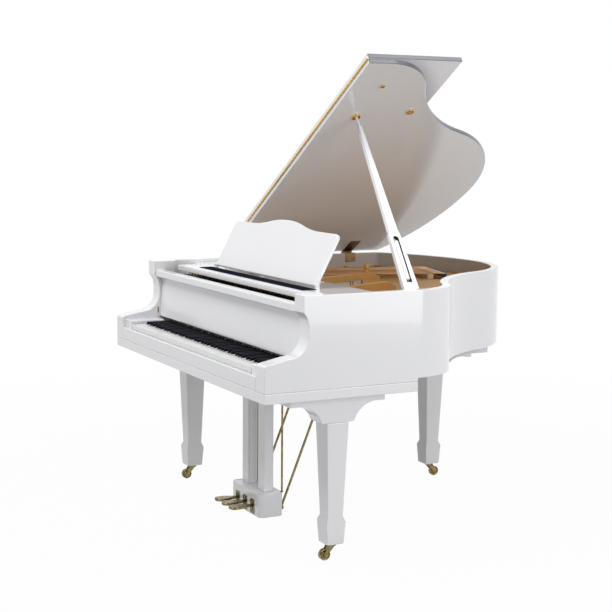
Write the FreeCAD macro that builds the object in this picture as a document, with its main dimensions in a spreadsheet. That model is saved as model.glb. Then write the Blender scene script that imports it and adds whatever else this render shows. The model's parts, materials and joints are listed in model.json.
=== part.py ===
import FreeCAD, Part
import math
import os
import Sketcher

V = FreeCAD.Vector
UP = V(0, 0, 1)
# A round end's radius over half its chord, just over 1 so that the arc stays under a half circle
ROUND_END = 1.03

# Driving dimensions in millimetres and degrees.
# Depths are measured from the front edge of the keybed, heights from the floor.
DRIVING = {
    "case_width": 1510,
    "case_length": 1510,
    "rim_wall": 32,
    "rim_top": 985,
    "keybed_bottom": 613,
    "keybed_thickness": 37,
    "keybed_depth": 620,
    "arm_thickness": 72,
    "arm_depth": 250,
    "arm_nose_top": 750,
    "arm_slope_rise": 17,
    "arm_cove_radius": 74,
    "arm_nose_radius": 12,
    "cheek_front": 150,
    "cheek_nose_height": 925,
    "cheek_inset": 171,
    "cheek_nose_drop": 53,
    "cheek_nose_radius": 77,
    "bend_start": 624,
    "bend_radius": 237,
    "waist_radius": 649,
    "tail_radius": 498,
    "tail_left_radius": 952,
    "tail_corner_radius": 61,
    "tail_apex_left": 176,
    "inner_rim_wall": 45,
    "inner_rim_top": 882,
    "belly_depth": 570,
    "belly_thickness": 30,
    "soundboard_thickness": 8,
    "rib_width": 22,
    "rib_height": 20,
    "first_rib": 90,
    "rib_pitch": 105,
    "beam_width": 70,
    "beam_height": 88,
    "plate_front": 262,
    "plate_web_back": 470,
    "plate_thickness": 12,
    "plate_lift": 17,
    "plate_flange": 45,
    "plate_spine_width": 74,
    "plate_clearance": 2,
    "hitch_width": 18,
    "window_margin": 12,
    "bass_window_depth": 125,
    "bass_window_margin": 30,
    "strut_run": 40,
    "plate_bar_width": 22,
    "plate_bar_height": 15,
    "bar_crest_height": 37,
    "bar_crest_start": 527,
    "bar_crest_ramp": 24,
    "pin_block_back": 440,
    "pin_block_thickness": 40,
    "pin_radius": 3.2,
    "pin_margin": 60,
    "pin_row_pitch": 34,
    "pin_depth": 30,
    "pin_clearance": 1,
    "bolt_radius": 9,
    "bolt_height": 8,
    "knob_radius": 12.5,
    "knob_height": 20,
    "knob_stem_height": 16,
    "pin_height": 26,
    "string_gap": 7,
    "shortest_string": 110,
    "low_bass_margin": 128,
    "high_bass_margin": 215,
    "bass_lift": 14,
    "treble_wire_radius": 0.6,
    "bass_wire_radius": 1.3,
    "bridge_width": 28,
    "bridge_setback": 70,
    "wire_clearance": 0.2,
    "notch_clearance": 4,
    "stretcher_front": 156,
    "stretcher_depth": 40,
    "stretcher_bottom": 918,
    "stretcher_height": 29,
    "key_slip_thickness": 16,
    "key_slip_height": 52,
    "key_block_width": 67,
    "key_block_depth": 153,
    "key_block_height": 86,
    "natural_pitch": 23.5,
    "key_gap": 1,
    "natural_front": 18,
    "sharp_front": 68,
    "sharp_cap_back": 190,
    "key_back": 400,
    "key_bottom": 700,
    "natural_height": 22,
    "sharp_height": 33,
    "sharp_width": 11,
    "sharp_top_width": 8.6,
    "sharp_slope": 10.5,
    "balance_depth": 235,
    "balance_width": 18,
    "key_float": 0.7,
    "frame_thickness": 18,
    "frame_setback": 4,
    "frame_tail": 10,
    "action_stand_width": 10,
    "hammer_rail_depth": 405,
    "hammer_rail_height": 815,
    "hammer_rail_size": 25,
    "hammer_rail_half_width": 640,
    "hammer_strike": 500,
    "hammer_top": 905,
    "hammer_width": 8,
    "hammer_length": 22,
    "shank_width": 5,
    "damper_depth": 548,
    "damper_length": 30,
    "damper_width": 7.6,
    "damper_height": 12,
    "damper_clearance": 0.5,
    "damper_stem_radius": 0.7,
    "damper_rail_top": 840,
    "damper_rail_size": 14,
    "fallboard_front": 176,
    "fallboard_thickness": 20,
    "fallboard_bottom": 742,
    "fallboard_top": 912,
    "fallboard_pivot_height": 770,
    "fallboard_lean": 4,
    "fallboard_pivot_radius": 5,
    "fallboard_pivot_reach": 12,
    "fallboard_end_gap": 1.5,
    "shelf_front": 243,
    "shelf_back": 505,
    "shelf_wing_front": 346,
    "shelf_half_width": 640,
    "shelf_wing_half_width": 714,
    "shelf_bottom": 948,
    "shelf_thickness": 22,
    "shelf_rail_width": 24,
    "shelf_rail_front": 30,
    "shelf_rail_tail": 80,
    "strip_setback": 39,
    "strip_depth": 58,
    "strip_thickness": 2,
    "strip_half_width": 488,
    "desk_pivot_depth": 352,
    "desk_half_width": 460,
    "desk_height": 214,
    "desk_arch": 32,
    "desk_corner_radius": 24,
    "desk_thickness": 16,
    "desk_lean": 28,
    "desk_pin_radius": 3,
    "desk_pin_reach": 14,
    "desk_strut_height": 120,
    "desk_stand_width": 12,
    "desk_stand_depth": 18,
    "desk_side_gap": 1,
    "desk_lift": 0.5,
    "desk_shoulder": 153,
    "groove_skin": 6,
    "groove_clearance": 4,
    "groove_step_depth": 489,
    "groove_step_drop": 1.6,
    "strut_width": 8.8,
    "strut_thickness": 8,
    "strut_lug_spread": 18,
    "strut_lug_width": 4,
    "strut_lug_depth": 12,
    "strut_pin_radius": 2,
    "strut_pin_drop": 7,
    "strut_foot_gap": 0.3,
    "desk_strut_spread": 250,
    "lid_overhang": 10,
    "lid_thickness": 20,
    "lid_gap": 4,
    "lid_angle": 32.06,
    "flap_seam": 525,
    "flap_depth": 417,
    "flap_hinge_radius": 3,
    "flap_rest_gap": 3,
    "flap_seam_gap": 3.2,
    "flap_leaf_thickness": 1.2,
    "flap_wire_radius": 1,
    "flap_leaf_height": 5,
    "lid_hinge_offset": 6,
    "lid_hinge_radius": 5,
    "lid_hinge_length": 54,
    "lid_hinge_leaf": 2,
    "lid_hinge_drop": 41,
    "lid_hinge_strap": 112,
    "lid_hinge_pin_radius": 2,
    "lid_hinge_back": 1155,
    "lid_hinge_front": 640,
    "prop_socket_along": 1174,
    "prop_depth": 640,
    "prop_base_side": 668,
    "prop_base_height": 962,
    "prop_base_width": 64,
    "prop_paddle_width": 47,
    "prop_paddle_rise": 12,
    "prop_neck_width": 38,
    "prop_top_width": 13,
    "prop_thickness": 18,
    "prop_pin_radius": 5,
    "prop_foot": 30,
    "prop_tip_radius": 6,
    "prop_tip_length": 24,
    "prop_tip_seat": 33,
    "prop_tip_gap": 0.8,
    "prop_chamfer": 3,
    "socket_radius": 17,
    "socket_height": 9,
    "socket_clearance": 2.5,
    "small_cup_along": 42,
    "small_cup_back": 225,
    "small_cup_radius": 15,
    "small_cup_height": 7,
    "bumper_along": 211,
    "bumper_back": 13,
    "bumper_radius": 9,
    "half_stick_foot": 62,
    "half_stick_inset": 3,
    "half_stick_pin_radius": 3,
    "half_stick_room": 16,
    "slot_foot": 42,
    "bracket_post_radius": 7,
    "bracket_post_reach": 45,
    "bracket_pin_reach": 25,
    "bracket_head_radius": 8,
    "bracket_head_height": 4,
    "bracket_flange_radius": 17,
    "bracket_flange_height": 5,
    "half_stick_width": 17,
    "half_stick_length": 160,
    "leg_spread": 661,
    "leg_depth": 317,
    "tail_leg_left": 229,
    "tail_leg_depth": 1300,
    "leg_top_width": 90,
    "leg_low_width": 64,
    "leg_top_height": 515,
    "leg_low_height": 165,
    "foot_width": 80,
    "foot_low_width": 69,
    "foot_height": 146,
    "leg_bottom": 62,
    "bracket_length": 387,
    "bracket_end_height": 30,
    "bracket_foot": 20,
    "tail_rise": 12,
    "tail_seat_bottom": 600,
    "tail_seat_reach": 265,
    "tail_bracket_end": 56,
    "bracket_cove_length": 104,
    "bracket_cove_radius": 100,
    "caster_radius": 21.5,
    "caster_width": 18,
    "caster_trail": 28,
    "axle_radius": 3,
    "stem_radius": 6,
    "stem_length": 39,
    "caster_disc_radius": 18,
    "caster_disc_height": 7,
    "fork_cheek": 4,
    "fork_ear": 9,
    "fork_heel": 12,
    "fork_root": 16,
    "wheel_side_gap": 1,
    "lyre_post_spread": 75,
    "lyre_post_width": 58,
    "lyre_post_depth": 42,
    "lyre_post_front": 311,
    "lyre_box_half_width": 140,
    "lyre_box_front": 276,
    "lyre_box_back": 384,
    "lyre_box_bottom": 20,
    "lyre_box_height": 96,
    "lyre_box_wall": 11,
    "lyre_top_height": 26,
    "lyre_cap_setback": 18,
    "mouth_side_gap": 5,
    "mouth_drop": 20,
    "mouth_height": 44,
    "pedal_spread": 70,
    "pedal_front": 168,
    "pedal_length": 204,
    "pedal_bottom": 54,
    "pedal_thickness": 11,
    "pedal_toe_width": 50,
    "pedal_toe_length": 52,
    "pedal_shoulder": 40,
    "pedal_neck_width": 16,
    "pedal_hub_radius": 9,
    "pedal_pivot_depth": 318,
    "pedal_pivot_radius": 3.4,
    "pedal_rod_depth": 364,
    "pedal_rod_radius": 4,
    "pedal_rod_clearance": 1.5,
    "pedal_rod_gap": 0.6,
    "pedal_rod_top": 600,
    "brace_radius": 5,
    "brace_spread": 112,
    "brace_foot_height": 48,
    "brace_top_depth": 612,
    "stay_radius": 4,
    "stay_spread": 130,
    "stay_depth": 378,
    "running_gap": 0.4,
}

doc = FreeCAD.newDocument("GrandPiano")
sheet = doc.addObject("Spreadsheet::Sheet", "Sheet")
for row, (alias, number) in enumerate(DRIVING.items(), 1):
    sheet.set("A%d" % row, alias)
    sheet.set("B%d" % row, str(number))
    sheet.setAlias("B%d" % row, alias)
doc.recompute()


class Size:
    """A size known both as a number and as an expression over the sheet."""

    def __init__(self, value, text):
        self.value = value
        self.text = text

    def join(self, sign, other, value):
        return Size(value, "(%s %s %s)" % (self.text, sign, other.text))

    def __add__(self, other):
        other = as_size(other)
        return self.join("+", other, self.value + other.value)

    def __sub__(self, other):
        other = as_size(other)
        return self.join("-", other, self.value - other.value)

    def __mul__(self, other):
        other = as_size(other)
        return self.join("*", other, self.value * other.value)

    def __truediv__(self, other):
        other = as_size(other)
        return self.join("/", other, self.value / other.value)

    def __radd__(self, other):
        return as_size(other) + self

    def __rsub__(self, other):
        return as_size(other) - self

    def __rmul__(self, other):
        return as_size(other) * self

    def __neg__(self):
        return as_size(0) - self


def as_size(thing):
    if isinstance(thing, Size):
        return thing
    return Size(float(thing), repr(float(thing)))


def dim(alias):
    return Size(float(sheet.get(alias)), "Sheet." + alias)


def sine(angle):
    return Size(math.sin(math.radians(angle.value)), "sin(%s)" % angle.text)


def cosine(angle):
    return Size(math.cos(math.radians(angle.value)), "cos(%s)" % angle.text)


def arctangent(ratio):
    return Size(math.degrees(math.atan(ratio.value)), "atan(%s)" % ratio.text)


def root(square):
    return Size(math.sqrt(square.value), "sqrt(%s)" % square.text)


nodes = {}


def node(obj):
    nodes[obj.Label] = obj
    return obj


def bind(obj, prop, size):
    obj.setExpression(prop, as_size(size).text)


def place(obj, x, y, z):
    bind(obj, "Placement.Base.x", x)
    bind(obj, "Placement.Base.y", y)
    bind(obj, "Placement.Base.z", z)


def turn(obj, axis, angle):
    obj.Placement = FreeCAD.Placement(obj.Placement.Base, FreeCAD.Rotation(axis, as_size(angle).value))
    bind(obj, "Placement.Rotation.Angle", angle)


def block(name, across, along, height):
    """A box given by its (low, high) limits on the three axes."""
    obj = doc.addObject("Part::Box", name)
    bind(obj, "Length", across[1] - as_size(across[0]))
    bind(obj, "Width", along[1] - as_size(along[0]))
    bind(obj, "Height", height[1] - as_size(height[0]))
    place(obj, across[0], along[0], height[0])
    return obj


def rod(name, direction, radius, start, length):
    """A cylinder from a start point along an axis letter."""
    obj = doc.addObject("Part::Cylinder", name)
    bind(obj, "Radius", radius)
    bind(obj, "Height", length)
    if direction == "x":
        turn(obj, V(0, 1, 0), 90)
    if direction == "y":
        turn(obj, V(-1, 0, 0), 90)
    place(obj, *start)
    return obj


def cut(name, base, *tools):
    for count, tool in enumerate(tools, 1):
        obj = doc.addObject("Part::Cut", name if count == len(tools) else "%s_cut%d" % (name, count))
        obj.Base = base
        obj.Tool = tool
        base = obj
    return obj


def fuse(name, *parts):
    obj = doc.addObject("Part::MultiFuse", name)
    obj.Shapes = list(parts)
    obj.Refine = True
    return obj


def group(name, *parts):
    obj = doc.addObject("Part::Compound", name)
    obj.Links = list(parts)
    return obj


def feature(name, shape):
    obj = doc.addObject("Part::Feature", name)
    obj.Shape = shape
    return obj


def pad(name, plane, path, origin, start, depth):
    """A padded profile: path holds (a, b) corners, or (a, b, radius) where an arc leads to the corner.
    A positive radius has its centre on the left of the path. Corners are not negative; origin shifts them."""
    body = doc.addObject("PartDesign::Body", name)
    sketch = body.newObject("Sketcher::SketchObject", name + "_sketch")
    support = [f for f in body.Origin.OriginFeatures if f.Role == plane][0]
    sketch.AttachmentSupport = [(support, "")]
    sketch.MapMode = "FlatFace"
    corners = [tuple(as_size(part) for part in corner) for corner in path]
    starts = []
    ends = []
    for index, corner in enumerate(corners):
        before = corners[index - 1]
        first = V(before[0].value, before[1].value, 0)
        last = V(corner[0].value, corner[1].value, 0)
        if len(corner) == 2:
            geo = sketch.addGeometry(Part.LineSegment(first, last), False)
            flipped = False
        else:
            radius = corner[2].value
            chord = last - first
            left = V(-chord.y, chord.x, 0).normalize()
            reach = math.sqrt(max(radius * radius - chord.Length ** 2 / 4, 0))
            centre = (first + last) / 2 + left * math.copysign(reach, radius)
            flipped = radius < 0
            begin, finish = (last, first) if flipped else (first, last)
            angles = [math.atan2(p.y - centre.y, p.x - centre.x) for p in (begin, finish)]
            circle = Part.Circle(centre, UP, abs(radius))
            geo = sketch.addGeometry(Part.ArcOfCircle(circle, angles[0], angles[1]), False)
        starts.append((geo, 2 if flipped else 1))
        ends.append((geo, 1 if flipped else 2))
    for index, corner in enumerate(corners):
        following = starts[(index + 1) % len(corners)]
        sketch.addConstraint(Sketcher.Constraint("Coincident", *ends[index], *following))
        for kind, size in (("DistanceX", corner[0]), ("DistanceY", corner[1])):
            number = sketch.addConstraint(Sketcher.Constraint(kind, -1, 1, *ends[index], size.value))
            sketch.setExpression("Constraints[%d]" % number, size.text)
        if len(corner) == 3:
            size = corner[2] if corner[2].value > 0 else -corner[2]
            number = sketch.addConstraint(Sketcher.Constraint("Radius", ends[index][0], size.value))
            sketch.setExpression("Constraints[%d]" % number, size.text)
    bind(sketch, "AttachmentOffset.Base.x", origin[0])
    bind(sketch, "AttachmentOffset.Base.y", origin[1])
    bind(sketch, "AttachmentOffset.Base.z", start)
    solid = body.newObject("PartDesign::Pad", name + "_pad")
    solid.Profile = sketch
    bind(solid, "Length", depth)
    return body


# Shared places
half = dim("case_width") / 2
front = -((dim("case_length") + dim("lid_overhang")) / 2)
gap = dim("running_gap")
keybed_top = dim("keybed_bottom") + dim("keybed_thickness")
rim_top = dim("rim_top")
arm_inner = half - dim("arm_thickness")
rim_inner = half - dim("rim_wall")
soundboard_top = dim("inner_rim_top") + dim("soundboard_thickness")
plate_bottom = soundboard_top + dim("plate_lift")
plate_top = plate_bottom + dim("plate_thickness")
treble_wire = plate_top + dim("string_gap")
bass_wire = treble_wire + dim("bass_lift")


def behind(alias):
    """The place on the depth axis that lies a driving depth behind the keybed's front edge."""
    return front + dim(alias)


# Case outline
def circles_meet(first, first_radius, second, second_radius):
    """The meeting point of two circles that lies on the right of the way from first to second."""
    way = second - first
    along = (first_radius ** 2 - second_radius ** 2 + way.Length ** 2) / (2 * way.Length)
    aside = math.sqrt(first_radius ** 2 - along ** 2)
    unit = V(way).normalize()
    return first + unit * along + V(unit.y, -unit.x, 0) * aside


def outline_edges(inset, start):
    """Edges of the case outline, moved in by inset, from the treble side round the tail to the spine."""
    width = half.value
    bend = dim("bend_radius").value
    waist = dim("waist_radius").value
    tail = dim("tail_radius").value
    tail_left = dim("tail_left_radius").value
    corner = dim("tail_corner_radius").value
    end = front.value + dim("case_length").value
    apex_side = -dim("tail_apex_left").value
    bend_centre = V(width - bend, behind("bend_start").value, 0)
    tail_centre = V(apex_side, end - tail, 0)
    left_centre = V(apex_side, end - tail_left, 0)
    waist_centre = circles_meet(bend_centre, bend + waist, tail_centre, waist + tail)

    def on_circle(centre, radius, toward):
        return centre + (toward - centre).normalize() * radius

    def arc(centre, radius, first, last):
        middle = on_circle(centre, radius, (first + last) / 2)
        return Part.Arc(first, middle, last).toShape()

    points = [V(width - inset, start, 0), V(width - inset, bend_centre.y, 0)]
    points.append(on_circle(bend_centre, bend - inset, waist_centre))
    points.append(on_circle(tail_centre, tail - inset, waist_centre))
    points.append(V(apex_side, end - inset, 0))
    edges = [
        Part.makeLine(points[0], points[1]),
        arc(bend_centre, bend - inset, points[1], points[2]),
        arc(waist_centre, waist + inset, points[2], points[3]),
        arc(tail_centre, tail - inset, points[3], points[4]),
    ]
    spine = inset - width
    if inset < corner - 1:
        corner_side = corner - width
        rise = math.sqrt((tail_left - corner) ** 2 - (corner_side - apex_side) ** 2)
        corner_centre = V(corner_side, left_centre.y + rise, 0)
        away = corner_centre * 2 - left_centre
        reach = on_circle(left_centre, tail_left - inset, away)
        turned = V(spine, corner_centre.y, 0)
        edges.append(arc(left_centre, tail_left - inset, points[4], reach))
        edges.append(arc(corner_centre, corner - inset, reach, turned))
    else:
        rise = math.sqrt((tail_left - inset) ** 2 - (spine - apex_side) ** 2)
        turned = V(spine, left_centre.y + rise, 0)
        edges.append(arc(left_centre, tail_left - inset, points[4], turned))
    edges.append(Part.makeLine(turned, V(spine, start, 0)))
    return edges


def outline_face(inset, start):
    edges = outline_edges(inset, start)
    last = edges[-1].valueAt(edges[-1].LastParameter)
    first = edges[0].valueAt(edges[0].FirstParameter)
    closing = Part.makeLine(last, first)
    return Part.Face(Part.Wire(edges + [closing]))


def prism(face, bottom, top):
    return face.translated(V(0, 0, bottom)).extrude(V(0, 0, top - bottom))


def ring(outer, inner, start, bottom, top):
    """A wall that follows the outline between two insets, open at the front."""
    solid = prism(outline_face(outer, start), bottom, top)
    hollow = prism(outline_face(inner, start - 1), bottom - 1, top + 1)
    return solid.cut(hollow)


def bar(first, last, width, bottom, top):
    """A straight upright board between two points of the plan."""
    way = last - first
    side = V(-way.y, way.x, 0).normalize() * (width / 2)
    corners = [first + side, first - side, last - side, last + side]
    return prism(Part.Face(Part.makePolygon(corners + corners[:1])), bottom, top)


def wire_rod(first, last, radius):
    return Part.makeCylinder(radius, (last - first).Length, first, last - first)


# Strings, set out as straight lines from the pin field to the hitch curve
BASS_NOTES = 26
NOTES = 88
CURVE_POINTS = 9
BASS_CURVE_POINTS = 4
SECTION_BREAKS = (48, 68)
BREAK_WIDTH = 2.2
# Shares of the half width that the wires pass at the dampers and end at
TREBLE_FAN = (-0.41, 0.8)
TREBLE_ENDS = (-0.7, 0.806)
BASS_FAN = (-0.81, -0.47)
BASS_ENDS = (-0.54, -0.14)
LONGEST_TREBLE = 0.49
TREBLE_SHRINK = 0.08
PIN_ROWS = 3


def note_share(note):
    """How far a treble note lies along the scale, with open places left for the plate struts."""
    def steps(number):
        return number - BASS_NOTES + BREAK_WIDTH * sum(number >= b for b in SECTION_BREAKS)
    return steps(note) / steps(NOTES - 1)


def break_share(index):
    """The middle of an open place of the scale."""
    note = SECTION_BREAKS[index]
    return (note_share(note - 1) + note_share(note)) / 2


def blend(low, high, share):
    return low + (high - low) * share


def line_from(start, fan, last):
    """The straight line through the damper point and the hitch point, begun at a given depth."""
    slope = (last.x - fan.x) / (last.y - fan.y)
    return V(fan.x + slope * (start - fan.y), start, 0), last


def treble_line(share, start):
    """Front and hitch point of the treble line at a share of the scale."""
    width = half.value
    fan = V(blend(*TREBLE_FAN, share) * width, behind("damper_depth").value, 0)
    longest = LONGEST_TREBLE * dim("case_length").value
    length = dim("shortest_string").value + longest * TREBLE_SHRINK ** share
    last = V(blend(*TREBLE_ENDS, share) * width, behind("plate_web_back").value + length, 0)
    return line_from(start, fan, last)


def bass_line(share, start):
    """Front and hitch point of the bass line at a share of its own section."""
    width = half.value
    tail = front.value + dim("case_length").value
    fan = V(blend(*BASS_FAN, share) * width, behind("damper_depth").value, 0)
    margin = blend(dim("low_bass_margin").value, dim("high_bass_margin").value, share)
    last = V(blend(*BASS_ENDS, share) * width, tail - margin, 0)
    return line_from(start, fan, last)


def pin_row(note):
    first_row = behind("plate_front").value + dim("pin_margin").value
    return first_row + dim("pin_row_pitch").value * (note % PIN_ROWS)


def note_line(note):
    """Front and hitch point of a note, both at the height of its wire."""
    if note < BASS_NOTES:
        first, last = bass_line(note / (BASS_NOTES - 1), pin_row(note))
        lift = V(0, 0, bass_wire.value)
    else:
        first, last = treble_line(note_share(note), pin_row(note))
        lift = V(0, 0, treble_wire.value)
    return first + lift, last + lift


def wire_radius(note):
    return dim("bass_wire_radius" if note < BASS_NOTES else "treble_wire_radius").value


def at_depth(note, depth):
    """The point where a note's wire passes a given depth."""
    first, last = note_line(note)
    return first + (last - first) * ((depth - first.y) / (last.y - first.y))


def before_hitch(line, distance):
    first, last = line
    return last - (last - first).normalize() * distance


# Case shell
def make_rim():
    wall = ring(0, dim("rim_wall").value, behind("arm_depth").value, keybed_top.value, rim_top.value)
    reach = dim("case_width").value
    corner = V(-reach, behind("keybed_depth").value, keybed_top.value)
    relief = Part.makeBox(2 * reach, dim("case_length").value, dim("tail_rise").value, corner)
    shell = feature("rim_wall_ring", wall.cut(relief))
    nose_top = dim("arm_nose_top")
    nose = dim("arm_nose_radius")
    cove = dim("arm_cove_radius")
    inset = dim("cheek_inset")
    slope_end = nose_top + dim("arm_slope_rise")
    profile = [
        (0, keybed_top),
        (0, nose_top - nose),
        (nose, nose_top, -nose),
        (inset - cove, slope_end),
        (inset, slope_end + cove, cove),
        (inset, dim("cheek_nose_height") - dim("cheek_nose_drop")),
        (dim("cheek_front"), dim("cheek_nose_height"), dim("cheek_nose_radius")),
        (dim("cheek_front"), rim_top),
        (dim("arm_depth"), rim_top),
        (dim("arm_depth"), keybed_top),
    ]
    bass = pad("bass_arm", "YZ_Plane", profile, (front, 0), -half, dim("arm_thickness"))
    treble = pad("treble_arm", "YZ_Plane", profile, (front, 0), arm_inner, dim("arm_thickness"))
    whole = fuse("rim_and_arms", shell, bass, treble)
    pivot_reach = arm_inner + dim("fallboard_pivot_reach") + dim("fallboard_end_gap")
    start = (-pivot_reach, fallboard_pivot_depth, dim("fallboard_pivot_height"))
    bore = rod("fallboard_bore", "x", dim("fallboard_pivot_radius") + gap, start, pivot_reach * 2)
    node(cut("outer_rim", whole, bore))


fallboard_pivot_depth = behind("fallboard_front") + dim("fallboard_thickness") / 2


def make_case():
    inner = ring(dim("rim_wall").value, dim("rim_wall").value + dim("inner_rim_wall").value,
                 behind("belly_depth").value + dim("belly_thickness").value,
                 keybed_top.value + dim("tail_rise").value, dim("inner_rim_top").value)
    node(feature("inner_rim", inner))
    bed_back = behind("keybed_depth")
    node(block("keybed", (-half, half), (front, bed_back), (dim("keybed_bottom"), keybed_top)))
    slip_back = front + dim("key_slip_thickness")
    slip_top = keybed_top + dim("key_slip_height")
    node(block("key_slip", (-arm_inner, arm_inner), (front, slip_back), (keybed_top, slip_top)))
    block_back = slip_back + dim("key_block_depth")
    block_inner = arm_inner - dim("key_block_width")
    block_top = keybed_top + dim("key_block_height")
    sides = ((-arm_inner, -block_inner), (block_inner, arm_inner))
    blocks = [block("key_block_%d" % n, side, (slip_back, block_back), (keybed_top, block_top))
              for n, side in enumerate(sides)]
    node(group("key_blocks", *blocks))
    stretcher_front = behind("stretcher_front")
    stretcher_bottom = dim("stretcher_bottom")
    stretcher_back = stretcher_front + dim("stretcher_depth")
    node(block("stretcher", (-arm_inner, arm_inner), (stretcher_front, stretcher_back),
               (stretcher_bottom, stretcher_bottom + dim("stretcher_height"))))


# Soundboard, bracing and bridges
RIBS = 7
RIB_SIDES = (0.35, -0.55)
RIB_HEADING = V(1, 0.75, 0)
BEAM_SIDES = (-0.75, -0.25, 0.25, 0.7)
BEAM_SPREAD_AT_TAIL = 0.45


def make_soundboard():
    """The soundboard, its ribs and the beams below; gives back the shape of the tail leg's seat."""
    wall = dim("rim_wall").value
    ledge = dim("inner_rim_top").value
    board = prism(outline_face(wall, behind("belly_depth").value), ledge, soundboard_top.value)
    node(feature("soundboard", board))
    inside = wall + dim("inner_rim_wall").value
    belly_back = behind("belly_depth").value + dim("belly_thickness").value
    rib_bottom = ledge - dim("rib_height").value
    room = prism(outline_face(inside, belly_back), keybed_top.value, ledge)
    ribs = []
    for step in range(RIBS):
        side = blend(*RIB_SIDES, step / (RIBS - 1)) * half.value
        middle = V(side, belly_back + dim("first_rib").value + dim("rib_pitch").value * step, 0)
        reach = RIB_HEADING * dim("case_width").value
        stick = bar(middle - reach, middle + reach, dim("rib_width").value, rib_bottom, ledge)
        ribs.extend(stick.common(room).Solids)
    node(feature("soundboard_ribs", Part.makeCompound(ribs)))
    beams = []
    beam_top = keybed_top.value + dim("beam_height").value
    tail = V(-dim("tail_leg_left").value, front.value + dim("case_length").value, 0)
    for share in BEAM_SIDES:
        start = V(share * half.value, belly_back, 0)
        finish = V(blend(tail.x, start.x, BEAM_SPREAD_AT_TAIL), tail.y, 0)
        stick = bar(start, finish, dim("beam_width").value, keybed_top.value, beam_top)
        beams.extend(stick.common(room).Solids)
    rail_side = rim_inner.value
    rail_low = V(-rail_side, behind("belly_depth").value, keybed_top.value)
    rail = Part.makeBox(2 * rail_side, dim("belly_thickness").value, ledge - keybed_top.value, rail_low)
    node(feature("under_beams", Part.makeCompound([rail] + beams)))
    leg = V(-dim("tail_leg_left").value, behind("tail_leg_depth").value, dim("tail_seat_bottom").value)
    side = dim("tail_seat_reach").value
    depth = dim("bracket_length").value
    seat_top = keybed_top.value + dim("tail_rise").value
    seat = Part.makeBox(2 * side, depth, seat_top - leg.z, leg - V(side, depth / 2, 0))
    under = prism(outline_face(wall, belly_back), leg.z, seat_top)
    return seat.common(under).cut(Part.makeCompound(beams))


def bridge(lines, bottom, top):
    """A curved bridge below a set of note lines, a fixed way in front of their hitch points."""
    middle = [before_hitch(line, dim("bridge_setback").value) for line in lines]
    side = dim("bridge_width").value / 2
    runs = []
    for offset in (-side, side):
        run = []
        for index, point in enumerate(middle):
            way = middle[min(index + 1, len(middle) - 1)] - middle[max(index - 1, 0)]
            run.append(point + V(-way.y, way.x, 0).normalize() * offset)
        runs.append(run)
    curves = []
    for run in runs:
        curve = Part.BSplineCurve()
        curve.interpolate(run)
        curves.append(curve.toShape())
    caps = [Part.makeLine(runs[0][n], runs[1][n]) for n in (0, -1)]
    outline = Part.Wire(Part.__sortEdges__(curves + caps))
    return prism(Part.Face(outline), bottom, top)


def treble_lines(count):
    web_back = behind("plate_web_back").value
    return [treble_line(n / (count - 1), web_back) for n in range(count)]


def bass_lines(count):
    web_back = behind("plate_web_back").value
    return [bass_line(n / (count - 1), web_back) for n in range(count)]


def make_bridges():
    below = dim("wire_clearance").value
    treble_top = treble_wire.value - dim("treble_wire_radius").value - below
    bass_top = bass_wire.value - dim("bass_wire_radius").value - below
    room = dim("notch_clearance").value
    notch_width = dim("plate_bar_width").value + 2 * room
    notches = plate_struts(notch_width, plate_bottom.value - room, treble_top + room)
    treble = bridge(treble_lines(CURVE_POINTS), soundboard_top.value, treble_top)
    treble = treble.cut(Part.makeCompound(notches))
    bass = bridge(bass_lines(BASS_CURVE_POINTS), soundboard_top.value, bass_top)
    node(feature("bridges", Part.makeCompound([treble, bass])))


# Cast plate, pin block and wires
def plate_windows():
    """The treble window ends short of the hitch points, the bass window frames the bass bridge."""
    web_back = behind("plate_web_back").value
    hitch = [before_hitch(line, dim("hitch_width").value) for line in treble_lines(CURVE_POINTS)]
    spine = dim("rim_wall").value + dim("plate_spine_width").value - half.value
    treble_side = hitch[-1].x + dim("window_margin").value
    left = [V(spine, hitch[0].y, 0), V(spine, web_back, 0)]
    right = [V(treble_side, web_back, 0), V(treble_side, hitch[-1].y, 0)]
    curve = Part.BSplineCurve()
    curve.interpolate(list(reversed(hitch)))
    ends = [right[1], hitch[-1]], [hitch[0], left[0]], left, [left[1], right[0]], right
    sides = [Part.makeLine(*pair) for pair in ends]
    treble = Part.Face(Part.Wire(Part.__sortEdges__([curve.toShape()] + sides)))
    lines = bass_lines(2)
    near = [before_hitch(line, dim("bass_window_depth").value) for line in lines]
    far = [before_hitch(line, dim("hitch_width").value) for line in lines]
    spread = V(dim("bass_window_margin").value, 0, 0)
    corners = [near[0] - spread, near[1] + spread, far[1] + spread, far[0] - spread]
    bass = Part.Face(Part.makePolygon(corners + corners[:1]))
    return treble, bass


BASS_STRUT_SHARE = -0.03
STRUT_SHARES = (BASS_STRUT_SHARE, break_share(0), break_share(1))
# How far the tall bars run past the front web, over the length of their own line
CREST_RUNS = {break_share(0): 1.28, break_share(1): 1.75}
CREST_FALL = 0.86
KNOB_SHARE = 1.06
RIM_BOLTS = 16


def plate_struts(width, bottom, top):
    """Bars in the open places of the scale, from the front web to beyond the hitch curve."""
    web_back = behind("plate_web_back").value
    run = dim("strut_run").value
    struts = []
    for share in STRUT_SHARES:
        first, last = treble_line(share, web_back - run)
        beyond = (last - first).normalize() * run
        struts.append(bar(first, last + beyond, width, bottom, top))
    return struts


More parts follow.
